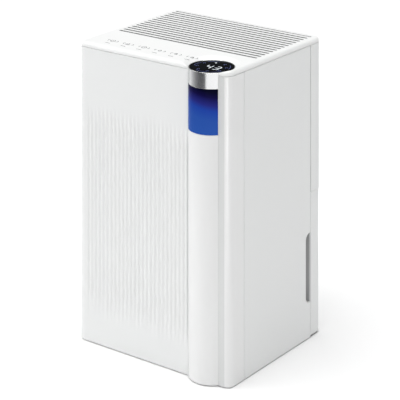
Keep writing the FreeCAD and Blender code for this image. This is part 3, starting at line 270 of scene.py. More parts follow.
def noise(tree, scale, detail=3.0):
    coordinates = tree.nodes.new("ShaderNodeTexCoord")
    texture = tree.nodes.new("ShaderNodeTexNoise")
    texture.inputs["Scale"].default_value = scale
    texture.inputs["Detail"].default_value = detail
    tree.links.new(coordinates.outputs["Object"], texture.inputs["Vector"])
    return texture.outputs["Fac"]


def spread(tree, value, low, high):
    """A 0-1 value mapped onto a range."""
    node = tree.nodes.new("ShaderNodeMapRange")
    node.inputs["From Min"].default_value = 0.3
    node.inputs["From Max"].default_value = 0.7
    node.inputs["To Min"].default_value = low
    node.inputs["To Max"].default_value = high
    tree.links.new(value, node.inputs["Value"])
    return node.outputs["Result"]


def blend_colors(tree, factor, first, second):
    node = tree.nodes.new("ShaderNodeMix")
    node.data_type = "RGBA"
    node.inputs["A"].default_value = (*first, 1.0)
    node.inputs["B"].default_value = (*second, 1.0)
    tree.links.new(factor, node.inputs["Factor"])
    return node.outputs["Result"]


def finish_surface(name, color, shade, roughness, rough_spread, grain, grain_depth, metallic=0.0, coat=0.0):
    """Principled surface with large soft colour drift, uneven gloss and a fine moulded grain."""
    material, tree, shader = new_material(name)
    drift = noise(tree, 9.0, 4.0)
    tree.links.new(blend_colors(tree, drift, color, shade), shader.inputs["Base Color"])
    gloss = noise(tree, 55.0, 5.0)
    rough = spread(tree, gloss, roughness - rough_spread, roughness + rough_spread)
    tree.links.new(rough, shader.inputs["Roughness"])
    shader.inputs["Metallic"].default_value = metallic
    shader.inputs["Coat Weight"].default_value = coat
    shader.inputs["Coat Roughness"].default_value = 0.12
    bump = tree.nodes.new("ShaderNodeBump")
    bump.inputs["Strength"].default_value = 0.35
    bump.inputs["Distance"].default_value = grain_depth
    tree.links.new(noise(tree, grain, 2.0), bump.inputs["Height"])
    tree.links.new(bump.outputs["Normal"], shader.inputs["Normal"])
    return material


MATERIALS = {
    "white_shell": finish_surface("white_shell", (0.855, 0.865, 0.862), (0.845, 0.855, 0.852),
                                  0.42, 0.02, 1400.0, 0.00003),
    "white_column": finish_surface("white_column", (0.872, 0.874, 0.872), (0.864, 0.868, 0.866),
                                   0.34, 0.015, 1200.0, 0.00001),
    "white_lid": finish_surface("white_lid", (0.892, 0.898, 0.894), (0.884, 0.890, 0.886),
                                0.40, 0.02, 1400.0, 0.00003),
    # darker copy of the white for the strip's flat front: painted shade of the column's shadow
    "strip_painted_shade": finish_surface("strip_painted_shade", (0.735, 0.745, 0.742), (0.725, 0.735, 0.732),
                                  0.30, 0.015, 1200.0, 0.00001),
    # grey copy of the white plastic for the finger recesses: painted shade inside the recess
    "recess_painted_shade": finish_surface("recess_painted_shade", (0.54, 0.545, 0.55), (0.50, 0.505, 0.51),
                                0.48, 0.04, 1200.0, 0.00003),
    # dark grey for the walls inside the top slots: painted shade in the slots
    "slot_painted_shade": finish_surface("slot_painted_shade", (0.42, 0.425, 0.43), (0.38, 0.385, 0.39),
                                0.55, 0.05, 1200.0, 0.00003),
    "chrome_trim": finish_surface("chrome_trim", (0.80, 0.805, 0.81), (0.77, 0.775, 0.78),
                                  0.20, 0.02, 700.0, 0.000002, metallic=1.0),
    "black_glass": finish_surface("black_glass", (0.0015, 0.002, 0.003), (0.0025, 0.003, 0.0045),
                                  0.08, 0.03, 60.0, 0.000002),
    "white_inner": finish_surface("white_inner", (0.78, 0.78, 0.76), (0.74, 0.74, 0.72),
                                  0.5, 0.08, 900.0, 0.00004),
    "grey_inner": finish_surface("grey_inner", (0.36, 0.37, 0.38), (0.31, 0.32, 0.33),
                                 0.5, 0.08, 900.0, 0.00004),
    "dark_rubber": finish_surface("dark_rubber", (0.035, 0.035, 0.036), (0.05, 0.05, 0.05),
                                  0.75, 0.08, 1600.0, 0.00006),
    "grey_rubber": finish_surface("grey_rubber", (0.33, 0.34, 0.35), (0.29, 0.30, 0.31),
                                  0.65, 0.08, 1600.0, 0.00005),
    "black_paint": finish_surface("black_paint", (0.02, 0.02, 0.021), (0.035, 0.035, 0.036),
                                  0.32, 0.08, 300.0, 0.00006, coat=0.3),
    "copper_tube": finish_surface("copper_tube", (0.78, 0.36, 0.20), (0.60, 0.27, 0.15),
                                  0.28, 0.10, 250.0, 0.00002, metallic=1.0),
    "fin_metal": finish_surface("fin_metal", (0.78, 0.79, 0.80), (0.70, 0.71, 0.73),
                                0.30, 0.10, 400.0, 0.00003, metallic=1.0),
    "zinc_steel": finish_surface("zinc_steel", (0.62, 0.63, 0.62), (0.54, 0.55, 0.53),
                                 0.34, 0.10, 500.0, 0.00002, metallic=1.0),
    "magnet_iron": finish_surface("magnet_iron", (0.10, 0.10, 0.11), (0.07, 0.07, 0.08),
                                  0.45, 0.08, 800.0, 0.00004, metallic=1.0),
    "board_green": finish_surface("board_green", (0.02, 0.15, 0.06), (0.03, 0.19, 0.08),
                                  0.35, 0.08, 500.0, 0.00002, coat=0.3),
    "white_foam": finish_surface("white_foam", (0.84, 0.84, 0.81), (0.78, 0.78, 0.75),
                                 0.85, 0.05, 500.0, 0.0003),
}


def clear_plastic():
    """Smoke-clear moulded plastic with a soft haze."""
    material, tree, shader = new_material("tank_clear")
    drift = noise(tree, 14.0, 3.0)
    smoke = blend_colors(tree, drift, (0.72, 0.78, 0.82), (0.66, 0.73, 0.78))
    tree.links.new(smoke, shader.inputs["Base Color"])
    tree.links.new(spread(tree, noise(tree, 120.0), 0.10, 0.22), shader.inputs["Roughness"])
    shader.inputs["Transmission Weight"].default_value = 0.82
    shader.inputs["IOR"].default_value = 1.49
    return material


def lit_window():
    """Blue diffuser, lit from behind, its glow carrying a painted shadow of the ring: nearly black under the
    ring and royal blue lower down. The painted shade leans, so it reaches lower towards the machine's right."""
    material, tree, shader = new_material("blue_window")
    coordinates = tree.nodes.new("ShaderNodeTexCoord")
    lean = 0.2
    slanted = tree.nodes.new("ShaderNodeVectorMath")
    slanted.operation = "DOT_PRODUCT"
    slanted.inputs[1].default_value = (lean, 0.0, 1.0)
    tree.links.new(coordinates.outputs["Object"], slanted.inputs[0])
    height = tree.nodes.new("ShaderNodeMapRange")
    height.inputs["From Min"].default_value = window_low.z + lean * COLUMN_X
    height.inputs["From Max"].default_value = window_high.z + lean * COLUMN_X
    tree.links.new(slanted.outputs["Value"], height.inputs["Value"])
    # The ramp paints the ring's shadow into the glow: royal blue low down, nearly black up under the ring.
    ramp = tree.nodes.new("ShaderNodeValToRGB")
    stops = [(0.0, (0.024, 0.088, 0.385)), (0.36, (0.022, 0.080, 0.365)), (0.58, (0.014, 0.052, 0.340)),
             (0.70, (0.018, 0.022, 0.190)), (0.88, (0.005, 0.003, 0.045)), (1.0, (0.001, 0.001, 0.010))]
    elements = ramp.color_ramp.elements
    elements[0].position, elements[1].position = stops[0][0], stops[-1][0]
    elements[0].color, elements[1].color = (*stops[0][1], 1.0), (*stops[-1][1], 1.0)
    for position, color in stops[1:-1]:
        elements.new(position).color = (*color, 1.0)
    tree.links.new(height.outputs["Result"], ramp.inputs["Fac"])
    shader.inputs["Base Color"].default_value = (0.001, 0.0015, 0.005, 1.0)
    tree.links.new(ramp.outputs["Color"], shader.inputs["Emission Color"])
    shader.inputs["Emission Strength"].default_value = 1.0
    tree.links.new(spread(tree, noise(tree, 80.0), 0.16, 0.24), shader.inputs["Roughness"])
    shader.inputs["Specular IOR Level"].default_value = 0.02
    return material


def printed(name, color, glow=0.0):
    """Screen-printed ink, or a lit mark where glow is above 0."""
    material, tree, shader = new_material(name)
    shade = tuple(0.88 * part for part in color)
    ink = blend_colors(tree, noise(tree, 900.0, 2.0), color, shade)
    tree.links.new(ink, shader.inputs["Base Color"])
    tree.links.new(spread(tree, noise(tree, 400.0), 0.4, 0.6), shader.inputs["Roughness"])
    if glow:
        tree.links.new(ink, shader.inputs["Emission Color"])
        shader.inputs["Emission Strength"].default_value = glow
    return material


glass_shader = MATERIALS["black_glass"].node_tree.nodes["Principled BSDF"]
glass_shader.inputs["Specular IOR Level"].default_value = 0.01
MATERIALS["tank_clear"] = clear_plastic()
MATERIALS["blue_window"] = lit_window()
MATERIALS["filter_net"] = finish_surface("filter_net", (0.07, 0.07, 0.075), (0.10, 0.10, 0.105),
                                         0.7, 0.08, 1200.0, 0.00008)
INK = printed("key_ink", (0.04, 0.043, 0.05))
DIGIT_LIGHT = printed("digit_light", (0.80, 0.84, 0.88), glow=0.6)
MARK_LIGHT = printed("mark_light", (0.05, 0.065, 0.20), glow=0.35)

for item in frame["record"]["subparts"]:
    node = frame["nodes"][item["node"]]
    node.data.materials.clear()
    node.data.materials.append(MATERIALS[item["material_slot"]])


def place(piece, body, slot, *nodes, material=None):
    """Rides the piece on its body, gives it its finish and lets it stand for CAD nodes."""
    piece.data.materials.clear()
    piece.data.materials.append(material or MATERIALS[slot])
    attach(piece, body)
    if nodes:
        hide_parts(*nodes)


# ---------------------------------------------------------------- front panel with its fading flutes
FLUTES = 26
FLUTE_PITCH = 7.0 * MM
FLUTE_LEFT = -119.0 * MM
FLUTE_DEPTH = 1.6 * MM
FADE_LOW = (26 * MM, 78 * MM)
FADE_HIGH = (300 * MM, 346 * MM)
FADE_STEPS = 10


def ease(value, start, end):
    share = min(1.0, max(0.0, (value - start) / (end - start)))
    return share * share * (3 - 2 * share)


def flute_depth(u, height):
    """Depth of the flutes below the flat front: round ribs between narrow grooves."""
    along = (u - FLUTE_LEFT) / FLUTE_PITCH
    if along < 0 or along > FLUTES:
        return 0.0
    groove = (0.5 + 0.5 * math.cos(2 * math.pi * along)) ** 1.6
    ends = ease(u, FLUTE_LEFT, FLUTE_LEFT + 0.5 * FLUTE_PITCH)
    fade = ease(height, *FADE_LOW) * (1 - ease(height, *FADE_HIGH))
    return FLUTE_DEPTH * groove * ends * fade


def make_front_panel():
    right = panel_high.x
    chord = math.sqrt(COLUMN_RADIUS ** 2 - (COLUMN_Y - FRONT) ** 2)
    front_right = COLUMN_X - chord - GAP
    steps = 10
    samples = FLUTES * steps
    outer = [(-SIDE, panel_high.y)]
    outer += arc(-SIDE + CORNER, FRONT + CORNER, CORNER, 180, 270, 10)
    for index in range(samples + 1):
        outer.append((FLUTE_LEFT + FLUTE_PITCH * index / steps, FRONT))
    outer = [point for point in outer if point[0] < front_right - 0.2 * MM]
    outer.append((front_right, FRONT))
    inner = [(right, FRONT + WALL)]
    inner += arc(-SIDE + CORNER, FRONT + CORNER, CORNER - WALL, 270, 180, 10)
    inner += [(-SIDE + WALL, panel_high.y)]
    outline = outer + inner
    fluted = {index for index, (u, v) in enumerate(outline) if v == FRONT and u > FLUTE_LEFT}
    stations = rounded_stations(PANEL_LOW, PANEL_TOP, FINE_EDGE, FINE_EDGE)
    split = len(stations) // 2
    between = []
    for start, end in (FADE_LOW, FADE_HIGH):
        between += [start + (end - start) * step / FADE_STEPS for step in range(FADE_STEPS + 1)]
    stations = stations[:split] + [(height, 0.0) for height in between] + stations[split:]
    mesh_data = bmesh.new()
    loops = []
    for height, inset in stations:
        loop = shifted(outline, inset)
        for index in fluted:
            u, v = loop[index]
            loop[index] = (u, v + flute_depth(u, height))
        loops.append((loop, height))
    add_loft(mesh_data, loops)
    panel = mesh_object("front_panel_fluted", mesh_data)
    place(even_normals(panel), "cabinet", "white_shell", "front_panel")


# ---------------------------------------------------------------- display column
gleam_receivers = bpy.data.collections.new("gleam_receivers")


def make_column():
    chord_angle = math.degrees(math.asin((COLUMN_Y - FRONT) / COLUMN_RADIUS))
    start = 180 + chord_angle
    end = 360 - chord_angle
    outer = arc(COLUMN_X, COLUMN_Y, COLUMN_RADIUS, start, end, 56)
    inner = arc(COLUMN_X, COLUMN_Y, COLUMN_RADIUS - WALL, end - 2, start + 2, 40)
    tube = slab("column_tube", outer + inner, PANEL_LOW, COLUMN_TOP, FINE_EDGE, 0.6 * MM)
    edge = COLUMN_X + COLUMN_RADIUS * math.cos(math.radians(end))
    corner = arc(SIDE - CORNER, FRONT + CORNER, CORNER, -90, 0, 12)
    inner_corner = arc(SIDE - CORNER, FRONT + CORNER, CORNER - WALL, 0, -90, 12)
    outline = [(edge, FRONT)] + corner + [(SIDE, strip_high.y), (SIDE - WALL, strip_high.y)]
    outline += inner_corner + [(edge + 1.9 * MM, FRONT + WALL)]
    strip = slab("column_strip", outline, PANEL_LOW, PANEL_TOP, FINE_EDGE, FINE_EDGE)
    place(even_normals(tube), "cabinet", "white_column", "column_cover")
    place(even_normals(strip), "cabinet", "white_column")
    # The strip's flat front faces take the darker white: painted shade where the column shadows the strip.
    strip.data.materials.append(MATERIALS["strip_painted_shade"])
    for face in strip.data.polygons:
        faces_front = face.normal.y < -0.97
        if faces_front:
            face.material_index = 1
    gleam_receivers.objects.link(strip)
    window = slab("lit_window", outer + inner, window_low.z, window_high.z, GAP, GAP)
    place(even_normals(window), "cabinet", "blue_window", "light_window")


def lathe(name, profile, centre, steps=96):
    """Closed ring or disc turned about an upright axis; the profile is (radius, height) pairs."""
    mesh_data = bmesh.new()
    rings = []
    for radius, height in profile:
        if radius < 1e-7:
            rings.append([mesh_data.verts.new((*centre, height))])
            continue
        ring = []
        for step in range(steps):
            angle = 2 * math.pi * step / steps
            u = centre[0] + radius * math.cos(angle)
            v = centre[1] + radius * math.sin(angle)
            ring.append(mesh_data.verts.new((u, v, height)))
        rings.append(ring)
    pairs = list(zip(rings, rings[1:]))
    if len(rings[0]) > 1:
        pairs.append((rings[-1], rings[0]))
    for lower, upper in pairs:
        for step in range(steps):
            following = (step + 1) % steps
            if len(lower) == 1:
                mesh_data.faces.new((lower[0], upper[following], upper[step]))
            elif len(upper) == 1:
                mesh_data.faces.new((lower[step], lower[following], upper[0]))
            else:
                mesh_data.faces.new((lower[step], lower[following], upper[following], upper[step]))
    return mesh_object(name, mesh_data)


def make_ring_and_glass():
    outer = COLUMN_RADIUS
    inner = RING_BORE
    low = ring_low.z
    high = ring_high.z
    edge = 0.55 * MM
    chamfer = 0.15 * MM
    profile = [(inner, low), (outer - 0.3 * MM, low), (outer - 0.1 * MM, low + 0.1 * MM)]
    profile += [(outer, low + 0.3 * MM), (outer, high - edge)]
    profile += [(outer - 0.07 * edge, high - 0.62 * edge), (outer - 0.29 * edge, high - 0.29 * edge)]
    profile += [(outer - 0.62 * edge, high - 0.07 * edge), (outer - edge, high)]
    profile += [(inner + chamfer, high), (inner, high - chamfer)]
    ring = lathe("ring_polished", profile, (COLUMN_X, COLUMN_Y))
    place(even_normals(ring), "cabinet", "chrome_trim", "chrome_ring")
    radius = inner - 0.05 * MM
    top = glass_high.z
    edge = 0.4 * MM
    profile = [(0, glass_low.z), (radius, glass_low.z), (radius, top - edge)]
    profile += [(radius - 0.3 * edge, top - 0.3 * edge), (radius - edge, top), (0, top)]
    glass = lathe("glass_disc", profile, (COLUMN_X, COLUMN_Y))
    place(even_normals(glass), "cabinet", "black_glass", "display_glass")


# ---------------------------------------------------------------- printed and lit marks
INK_HEIGHT = 0.06 * MM
LID_TOP = TOP - INK_HEIGHT


def add_stroke(mesh_data, points, width, floor):
    """Flat raised line of one width through plan points."""
    left, right = [], []
    for index, (x, y) in enumerate(points):
        before = Vector(points[max(index - 1, 0)])
        after = Vector(points[min(index + 1, len(points) - 1)])
        along = (after - before).normalized()
        across = Vector((-along.y, along.x)) * width / 2
        left.append((x + across.x, y + across.y))
        right.append((x - across.x, y - across.y))
    outline = right + left[::-1]
    low = [mesh_data.verts.new((x, y, floor)) for x, y in outline]
    high = [mesh_data.verts.new((x, y, floor + INK_HEIGHT)) for x, y in outline]
    count = len(outline)
    for index in range(count):
        following = (index + 1) % count
        mesh_data.faces.new((low[index], low[following], high[following], high[index]))
    half = count // 2
    for index in range(half - 1):
        opposite = count - 1 - index
        mesh_data.faces.new((high[index], high[index + 1], high[opposite - 1], high[opposite]))
        mesh_data.faces.new((low[index], low[opposite], low[opposite - 1], low[index + 1]))


def strokes(name, lines, width, floor, material, slot="black_glass"):
    """One printed or lit mark made of several lines."""
    mesh_data = bmesh.new()
    for line in lines:
        add_stroke(mesh_data, line, width, floor)
    place(mesh_object(name, mesh_data), "cabinet", slot, material=material)


SEGMENTS = {"4": "fgbc", "3": "agbcd"}
DIGIT_SIZE = (7.4 * MM, 14 * MM)
DIGIT_ROW = COLUMN_Y - 1.5 * MM
LAMP_ROW = COLUMN_Y + 18.4 * MM
SCALE_RADIUS = 25.2 * MM
DOT_RADIUS = 20.6 * MM


def digit(character, x, y, width, height):
    """Strokes of a seven-segment figure whose middle is at (x, y)."""
    left, right = x - width / 2, x + width / 2
    low, high = y - height / 2, y + height / 2
    gap = 0.5 * MM
    places = {
        "a": ((left + gap, high), (right - gap, high)), "d": ((left + gap, low), (right - gap, low)),
        "g": ((left + gap, y), (right - gap, y)), "f": ((left, high - gap), (left, y + gap)),
        "b": ((right, high - gap), (right, y + gap)), "c": ((right, y - gap), (right, low + gap)),
    }
    return [places[letter] for letter in SEGMENTS[character]]


def make_display_marks():
    floor = glass_high.z
    lines = digit("4", COLUMN_X - 3.2 * MM, DIGIT_ROW, *DIGIT_SIZE)
    lines += digit("3", COLUMN_X + 9.8 * MM, DIGIT_ROW, *DIGIT_SIZE)
    strokes("display_digits", lines, 1.05 * MM, floor, DIGIT_LIGHT)
    dot = [(COLUMN_X - 7.4 * MM, LAMP_ROW), (COLUMN_X - 5.0 * MM, LAMP_ROW)]
    strokes("display_lamp", [dot], 2.4 * MM, floor, DIGIT_LIGHT)
    rings = []
    for start in (100, 160, 250, 300, 10):
        rings.append(arc(COLUMN_X, COLUMN_Y, SCALE_RADIUS, start, start + 38, 10))
    for turn in range(0, 360, 45):
        angle = math.radians(turn + 20)
        x = COLUMN_X + DOT_RADIUS * math.cos(angle)
        y = COLUMN_Y + DOT_RADIUS * math.sin(angle)
        if not 70 < turn < 110:
            rings.append(arc(x, y, 1.7 * MM, 0, 300, 10))
    strokes("display_scale", rings, 0.7 * MM, floor, MARK_LIGHT)


BRACKET_REACH = 9.0 * MM
BRACKET_DEPTH = 1.8 * MM
BRACKET_RISE = 2.8 * MM
BAR_DROP = 12.4 * MM
BAR_HALF = 4.2 * MM
MARKS = 6
MARK_FIRST = -91.5 * MM
MARK_PITCH = 28.0 * MM
MARK_ROW = -78.2 * MM


def touch_mark(kind, x, y):
    """Small generic sign between two brackets, with a bar in front of it."""
    reach = 3.6 * MM
    lines = []
    for side in (-1, 1):
        tip = x + side * BRACKET_REACH
        back = tip - side * BRACKET_DEPTH
        lines.append([(back, y + BRACKET_RISE), (tip, y), (back, y - BRACKET_RISE)])
    if kind == 0:
        lines.append(arc(x, y, reach, 120, 420, 16))
        lines.append([(x, y + 0.4 * MM), (x, y + 3.2 * MM)])
    elif kind == 1:
        base = y - reach
        lines.append([(x - reach, base), (x, y + reach), (x + reach, base), (x - 0.7 * reach, base)])
        lines.append([(x - 0.5 * reach, y - 0.5 * reach), (x + 0.5 * reach, y - 0.5 * reach)])
    elif kind == 2:
        lines.append(arc(x, y, reach, 0, 350, 18))
        lines.append([(x, y + 1.4 * MM), (x, y), (x + 1.3 * MM, y)])
    elif kind == 3:
        lines.append(arc(x, y - 0.6 * MM, 2.0 * MM, 140, 400, 16))
        lines.append([(x - 1.6 * MM, y + 0.7 * MM), (x, y + 3 * MM), (x + 1.6 * MM, y + 0.7 * MM)])
    elif kind == 4:
        for turn in (90, 210, 330):
            angle = math.radians(turn)
            petal = (x + 1.5 * MM * math.cos(angle), y + 1.5 * MM * math.sin(angle))
            lines.append(arc(*petal, 1.1 * MM, 0, 340, 10))
    else:
        lines.append([(x - 2 * MM, y - 2.2 * MM), (x + 2 * MM, y - 2.2 * MM), (x + 2 * MM, y + 0.4 * MM),
                      (x - 2 * MM, y + 0.4 * MM), (x - 2 * MM, y - 2 * MM)])
        lines.append(arc(x, y + 0.4 * MM, 1.4 * MM, 180, 0, 10))
    lines.append([(x - BAR_HALF, y - BAR_DROP), (x + BAR_HALF, y - BAR_DROP)])
    return lines


def make_touch_marks():
    lines = []
    for index in range(MARKS):
        lines += touch_mark(index, MARK_FIRST + MARK_PITCH * index, MARK_ROW)
    strokes("touch_marks", lines, 0.95 * MM, LID_TOP, INK, slot="white_shell")


# ---------------------------------------------------------------- top cover
LID_EDGE = 4.5 * MM
DISH_DEPTH = 3.3 * MM
DISH_WIDTH = 7.5 * MM
SLOTS = 15
SLOT_PITCH = 9.6 * MM
SLOT_WIDTH = 4.6 * MM
SLOT_CUT = 30 * MM
SLOT_REACH = SIDE - 10 * MM
SLOT_REAR = REAR - 10 * MM
SLOT_FRONT = SLOT_REAR - SLOTS * SLOT_PITCH


def make_top_cover():
    outline = rounded_rectangle(-SIDE, SIDE, FRONT, REAR, CORNER, 12)
    cover = slab("lid", outline, LID_SEAM, LID_TOP, 0.4 * MM, LID_EDGE)
    hole = COLUMN_RADIUS + GAP
    rim = TOP - DISH_DEPTH
    below = LID_SEAM - 2 * MM
    above = TOP + 0.4 * MM
    profile = [(0, below), (hole, below), (hole, rim - 0.3 * MM), (hole + 0.5 * MM, rim + 0.1 * MM)]
    profile += [(hole + DISH_WIDTH, TOP - 0.02 * MM), (hole + DISH_WIDTH + 1.5 * MM, above), (0, above)]
    dish = lathe("dish", profile, (COLUMN_X, COLUMN_Y), steps=128)
    slots = []
    for index in range(SLOTS):
        back = SLOT_REAR - index * SLOT_PITCH
        slots.append(rounded_rectangle(-SLOT_REACH, SLOT_REACH, back - SLOT_WIDTH, back, SLOT_WIDTH / 2, 6))
    carve(cover, [flared_cutter(slots, LID_TOP, SLOT_CUT, FINE_EDGE, "z"), dish])
    place(even_normals(cover), "cabinet", "white_shell", "top_cover", material=MATERIALS["white_lid"])
    # Walls inside the slots take the dark grey: painted shade in the slots.
    cover.data.materials.append(MATERIALS["slot_painted_shade"])
    for face in cover.data.polygons:
        upright = abs(face.normal.z) < 0.3 and face.center.z < TOP - 0.4 * MM
        across = abs(face.center.x) <= SLOT_REACH
        if upright and across and SLOT_FRONT < face.center.y <= SLOT_REAR:
            face.material_index = 1


# ---------------------------------------------------------------- side panels
RECESS_FRONT = 78.25 * MM
RECESS_LOW = 51 * MM
RECESS_HIGH = 149 * MM
RECESS_RADIUS = 9 * MM
RECESS_DEPTH = 10.5 * MM
CUP_WALL = 2 * MM
SEAM = 0.8 * MM


def recess_edge(back):
    """Line round the half-stadium, open to the back, that the fingers reach into; from low to high."""
    points = [(back, RECESS_LOW)]
    points += arc(RECESS_FRONT + RECESS_RADIUS, RECESS_LOW + RECESS_RADIUS, RECESS_RADIUS, 270, 180, 10)
    points += arc(RECESS_FRONT + RECESS_RADIUS, RECESS_HIGH - RECESS_RADIUS, RECESS_RADIUS, 180, 90, 10)
    return points + [(back, RECESS_HIGH)]


def make_side_panel(name, sign):
    """Side wall with its finger recess; sign is 1 on the machine's right and -1 on its left."""
    front, back = side_low.y + SEAM, side_high.y - SEAM
    recess = recess_edge(back)
    outline = [(front, PANEL_LOW), (back, PANEL_LOW)] + recess + [(back, PANEL_TOP), (front, PANEL_TOP)]
    low, high = sorted((sign * (SIDE - WALL), sign * SIDE))
    edges = (0.0, EDGE) if sign > 0 else (EDGE, 0.0)
    wall = slab(name + "_wall", outline, low, high, *edges, axis="x")
    place(even_normals(wall), "cabinet", "white_shell")
    floor_x = sign * (SIDE - RECESS_DEPTH)
    cup_front = RECESS_FRONT - CUP_WALL
    cup_low, cup_high = RECESS_LOW - CUP_WALL, RECESS_HIGH + CUP_WALL
    sides = [(cup_front, cup_low), (back, cup_low)] + recess + [(back, cup_high), (cup_front, cup_high)]
    low, high = sorted((floor_x, sign * (SIDE - WALL)))
    rim = slab("rim", sides, low, high, axis="x")
    low, high = sorted((floor_x, floor_x - sign * CUP_WALL))
    plate = rounded_rectangle(cup_front, back, cup_low, cup_high, 1 * MM, 3)
    floor = slab("floor", plate, low, high, axis="x")
    grip = join(name + "_grip", [rim, floor])
    # The recess cup takes the grey: painted shade inside the finger recess.
    place(even_normals(grip), "cabinet", "white_shell", name, material=MATERIALS["recess_painted_shade"])


# ---------------------------------------------------------------- rear covers
def u_outline(side, rear, front, corner, wall):
    """Plan of a back shell: outer line from right to left round the back, then the inner line."""
    outer = [(side, front)]
    outer += arc(side - corner, rear - corner, corner, 0, 90, 12)
    outer += arc(-side + corner, rear - corner, corner, 90, 180, 12)
    outer += [(-side, front)]
    inner = [(-side + wall, front)]
    inner += arc(-side + corner, rear - corner, corner - wall, 180, 90, 12)
    inner += arc(side - corner, rear - corner, corner - wall, 90, 0, 12)
    inner += [(side - wall, front)]
    return outer + inner


SCREW_REACH = 120 * MM
SCREW_HEAD = 3.4 * MM
SCREW_WELL = 4 * MM


def make_rear_cover():
    outline = u_outline(SIDE, REAR, cover_low.y, CORNER, WALL)
    shell = slab("rear_shell", outline, cover_low.z, PANEL_TOP, EDGE, FINE_EDGE)
    clearance = 0.4 * MM
    window = rounded_rectangle(grille_low.x - clearance, grille_high.x + clearance,
                               grille_low.z - clearance, grille_high.z + clearance, 1.4 * MM, 4)
    cuts = [window]
    for node in ("drain_spout", "cord_gland"):
        low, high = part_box(node)
        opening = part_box("drain_spout")[1].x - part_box("drain_spout")[0].x
        cuts.append(circle((low.x + high.x) / 2, (low.z + high.z) / 2, opening / 2, 40))
    screw_low, screw_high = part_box("rear_screws")
    for across in (-SCREW_REACH, SCREW_REACH):
        for up in (screw_low.z + SCREW_HEAD, screw_high.z - SCREW_HEAD):
            cuts.append(circle(across, up, SCREW_WELL, 32))
    carve(shell, [flared_cutter(cuts, REAR, 8 * MM, FINE_EDGE, "y")])
    place(even_normals(shell), "cabinet", "white_shell", "rear_cover")


TICKS = 7
TICK_LENGTHS = (4.5 * MM, 7 * MM)
TICK_HALF = 0.5 * MM
BASE_EDGE = 1.2 * MM


def make_tank_cover():
    corner = CORNER - (SIDE - tank_high.x)
    outline = u_outline(tank_high.x, tank_high.y, tank_low.y, corner, WALL)
    shell = slab("tank_front", outline, tank_low.z, tank_high.z, BASE_EDGE, EDGE)
    window = rounded_rectangle(level_low.x, level_high.x, level_low.z, level_high.z, 3 * MM, 6)
    carve(shell, [flared_cutter([window], tank_high.y, 6 * MM, FINE_EDGE, "y")])
    flanges = []
    for sign in (-1, 1):
        left, right = sorted((sign * (SIDE - RECESS_DEPTH - CUP_WALL), sign * (tank_high.x - 0.5 * WALL)))
        plate = rounded_rectangle(left, right, RECESS_LOW - CUP_WALL, RECESS_HIGH + CUP_WALL, 1 * MM, 3)
        front = tank_low.y + 0.2 * MM
        flanges.append(slab("flange", plate, front, front + CUP_WALL, 0.4 * MM, 0.4 * MM, axis="y"))
    place(even_normals(shell), "water_tank", "white_shell", "tank_cover")
    grips = join("tank_grip_flanges", flanges)
    # The grip flanges inside the recesses take the same grey: painted shade.
    place(even_normals(grips), "water_tank", "white_shell", material=MATERIALS["recess_painted_shade"])
    pane = slab("level_pane", window, level_low.y, level_high.y - 0.4 * MM, 0.0, 0.3 * MM, axis="y")
    place(even_normals(pane), "water_tank", "tank_clear", "level_window")
    ticks = []
    for index in range(TICKS):
        height = level_low.z + (index + 1) * (level_high.z - level_low.z) / (TICKS + 1)
        left = level_high.x + 3 * MM
        right = left + TICK_LENGTHS[index % 2]
        line = rounded_rectangle(left, right, height - TICK_HALF, height + TICK_HALF, 0.45 * MM, 4)
        ticks.append(slab("tick", line, tank_high.y - 0.3 * MM, tank_high.y, axis="y"))
    place(join("level_ticks", ticks), "water_tank", "white_shell", material=INK)


LOUVRES = 17
LOUVRE_PITCH = 8 * MM
LOUVRE_OPENING = 4.4 * MM
GRILLE_BORDER = 8 * MM


def make_intake_grille():
    low, high = grille_low, grille_high
    plate = slab("intake_louvre", rounded_rectangle(low.x, high.x, low.z, high.z, 1.2 * MM, 4),
                 low.y, high.y, 0.0, 0.8 * MM, axis="y")
    middle = 1.5 * MM
    slots = []
    for row in range(LOUVRES):
        base = low.z + GRILLE_BORDER + row * LOUVRE_PITCH
        for left, right in ((low.x + GRILLE_BORDER, -middle), (middle, high.x - GRILLE_BORDER)):
            slots.append(rounded_rectangle(left, right, base, base + LOUVRE_OPENING, 2.1 * MM, 5))
    carve(plate, [flared_cutter(slots, high.y, 9 * MM, EDGE, "y")])
    place(even_normals(plate), "intake_filter", "white_shell", "intake_grille")


make_front_panel()
make_column()
make_ring_and_glass()
make_display_marks()
make_top_cover()
make_touch_marks()
make_side_panel("right_side_panel", 1)
make_side_panel("left_side_panel", -1)
make_rear_cover()
make_tank_cover()
make_intake_grille()


# ---------------------------------------------------------------- floor, light and camera
def make_floor():
    half = 6.0
    mesh_data = bmesh.new()
    corners = ((-half, -half), (half, -half), (half, half), (-half, half))
    mesh_data.faces.new([mesh_data.verts.new((x, y, 0)) for x, y in corners])
    floor = mesh_object("floor", mesh_data)
    floor.data.materials.append(finish_surface("floor_paint", (0.95, 0.95, 0.95), (0.94, 0.94, 0.94),
                                               0.6, 0.05, 200.0, 0.00001))


def area_light(name, azimuth, elevation, distance, width, height, power):
    """Soft panel that faces the middle of the machine; azimuth 0 is straight in front."""
    light = bpy.data.lights.new(name, "AREA")
    light.shape = "RECTANGLE"
    light.size = width
    light.size_y = height
    light.energy = power
    lamp = bpy.data.objects.new(name, light)
    a, e = math.radians(azimuth), math.radians(elevation)
    back = Vector((math.sin(a) * math.cos(e), -math.cos(a) * math.cos(e), math.sin(e)))
    lamp.location = Vector((0, 0, 0.2)) + back * distance
    lamp.rotation_mode = "QUATERNION"
    lamp.rotation_quaternion = (-back).to_track_quat("-Z", "Y")
    bpy.context.scene.collection.objects.link(lamp)
    return lamp


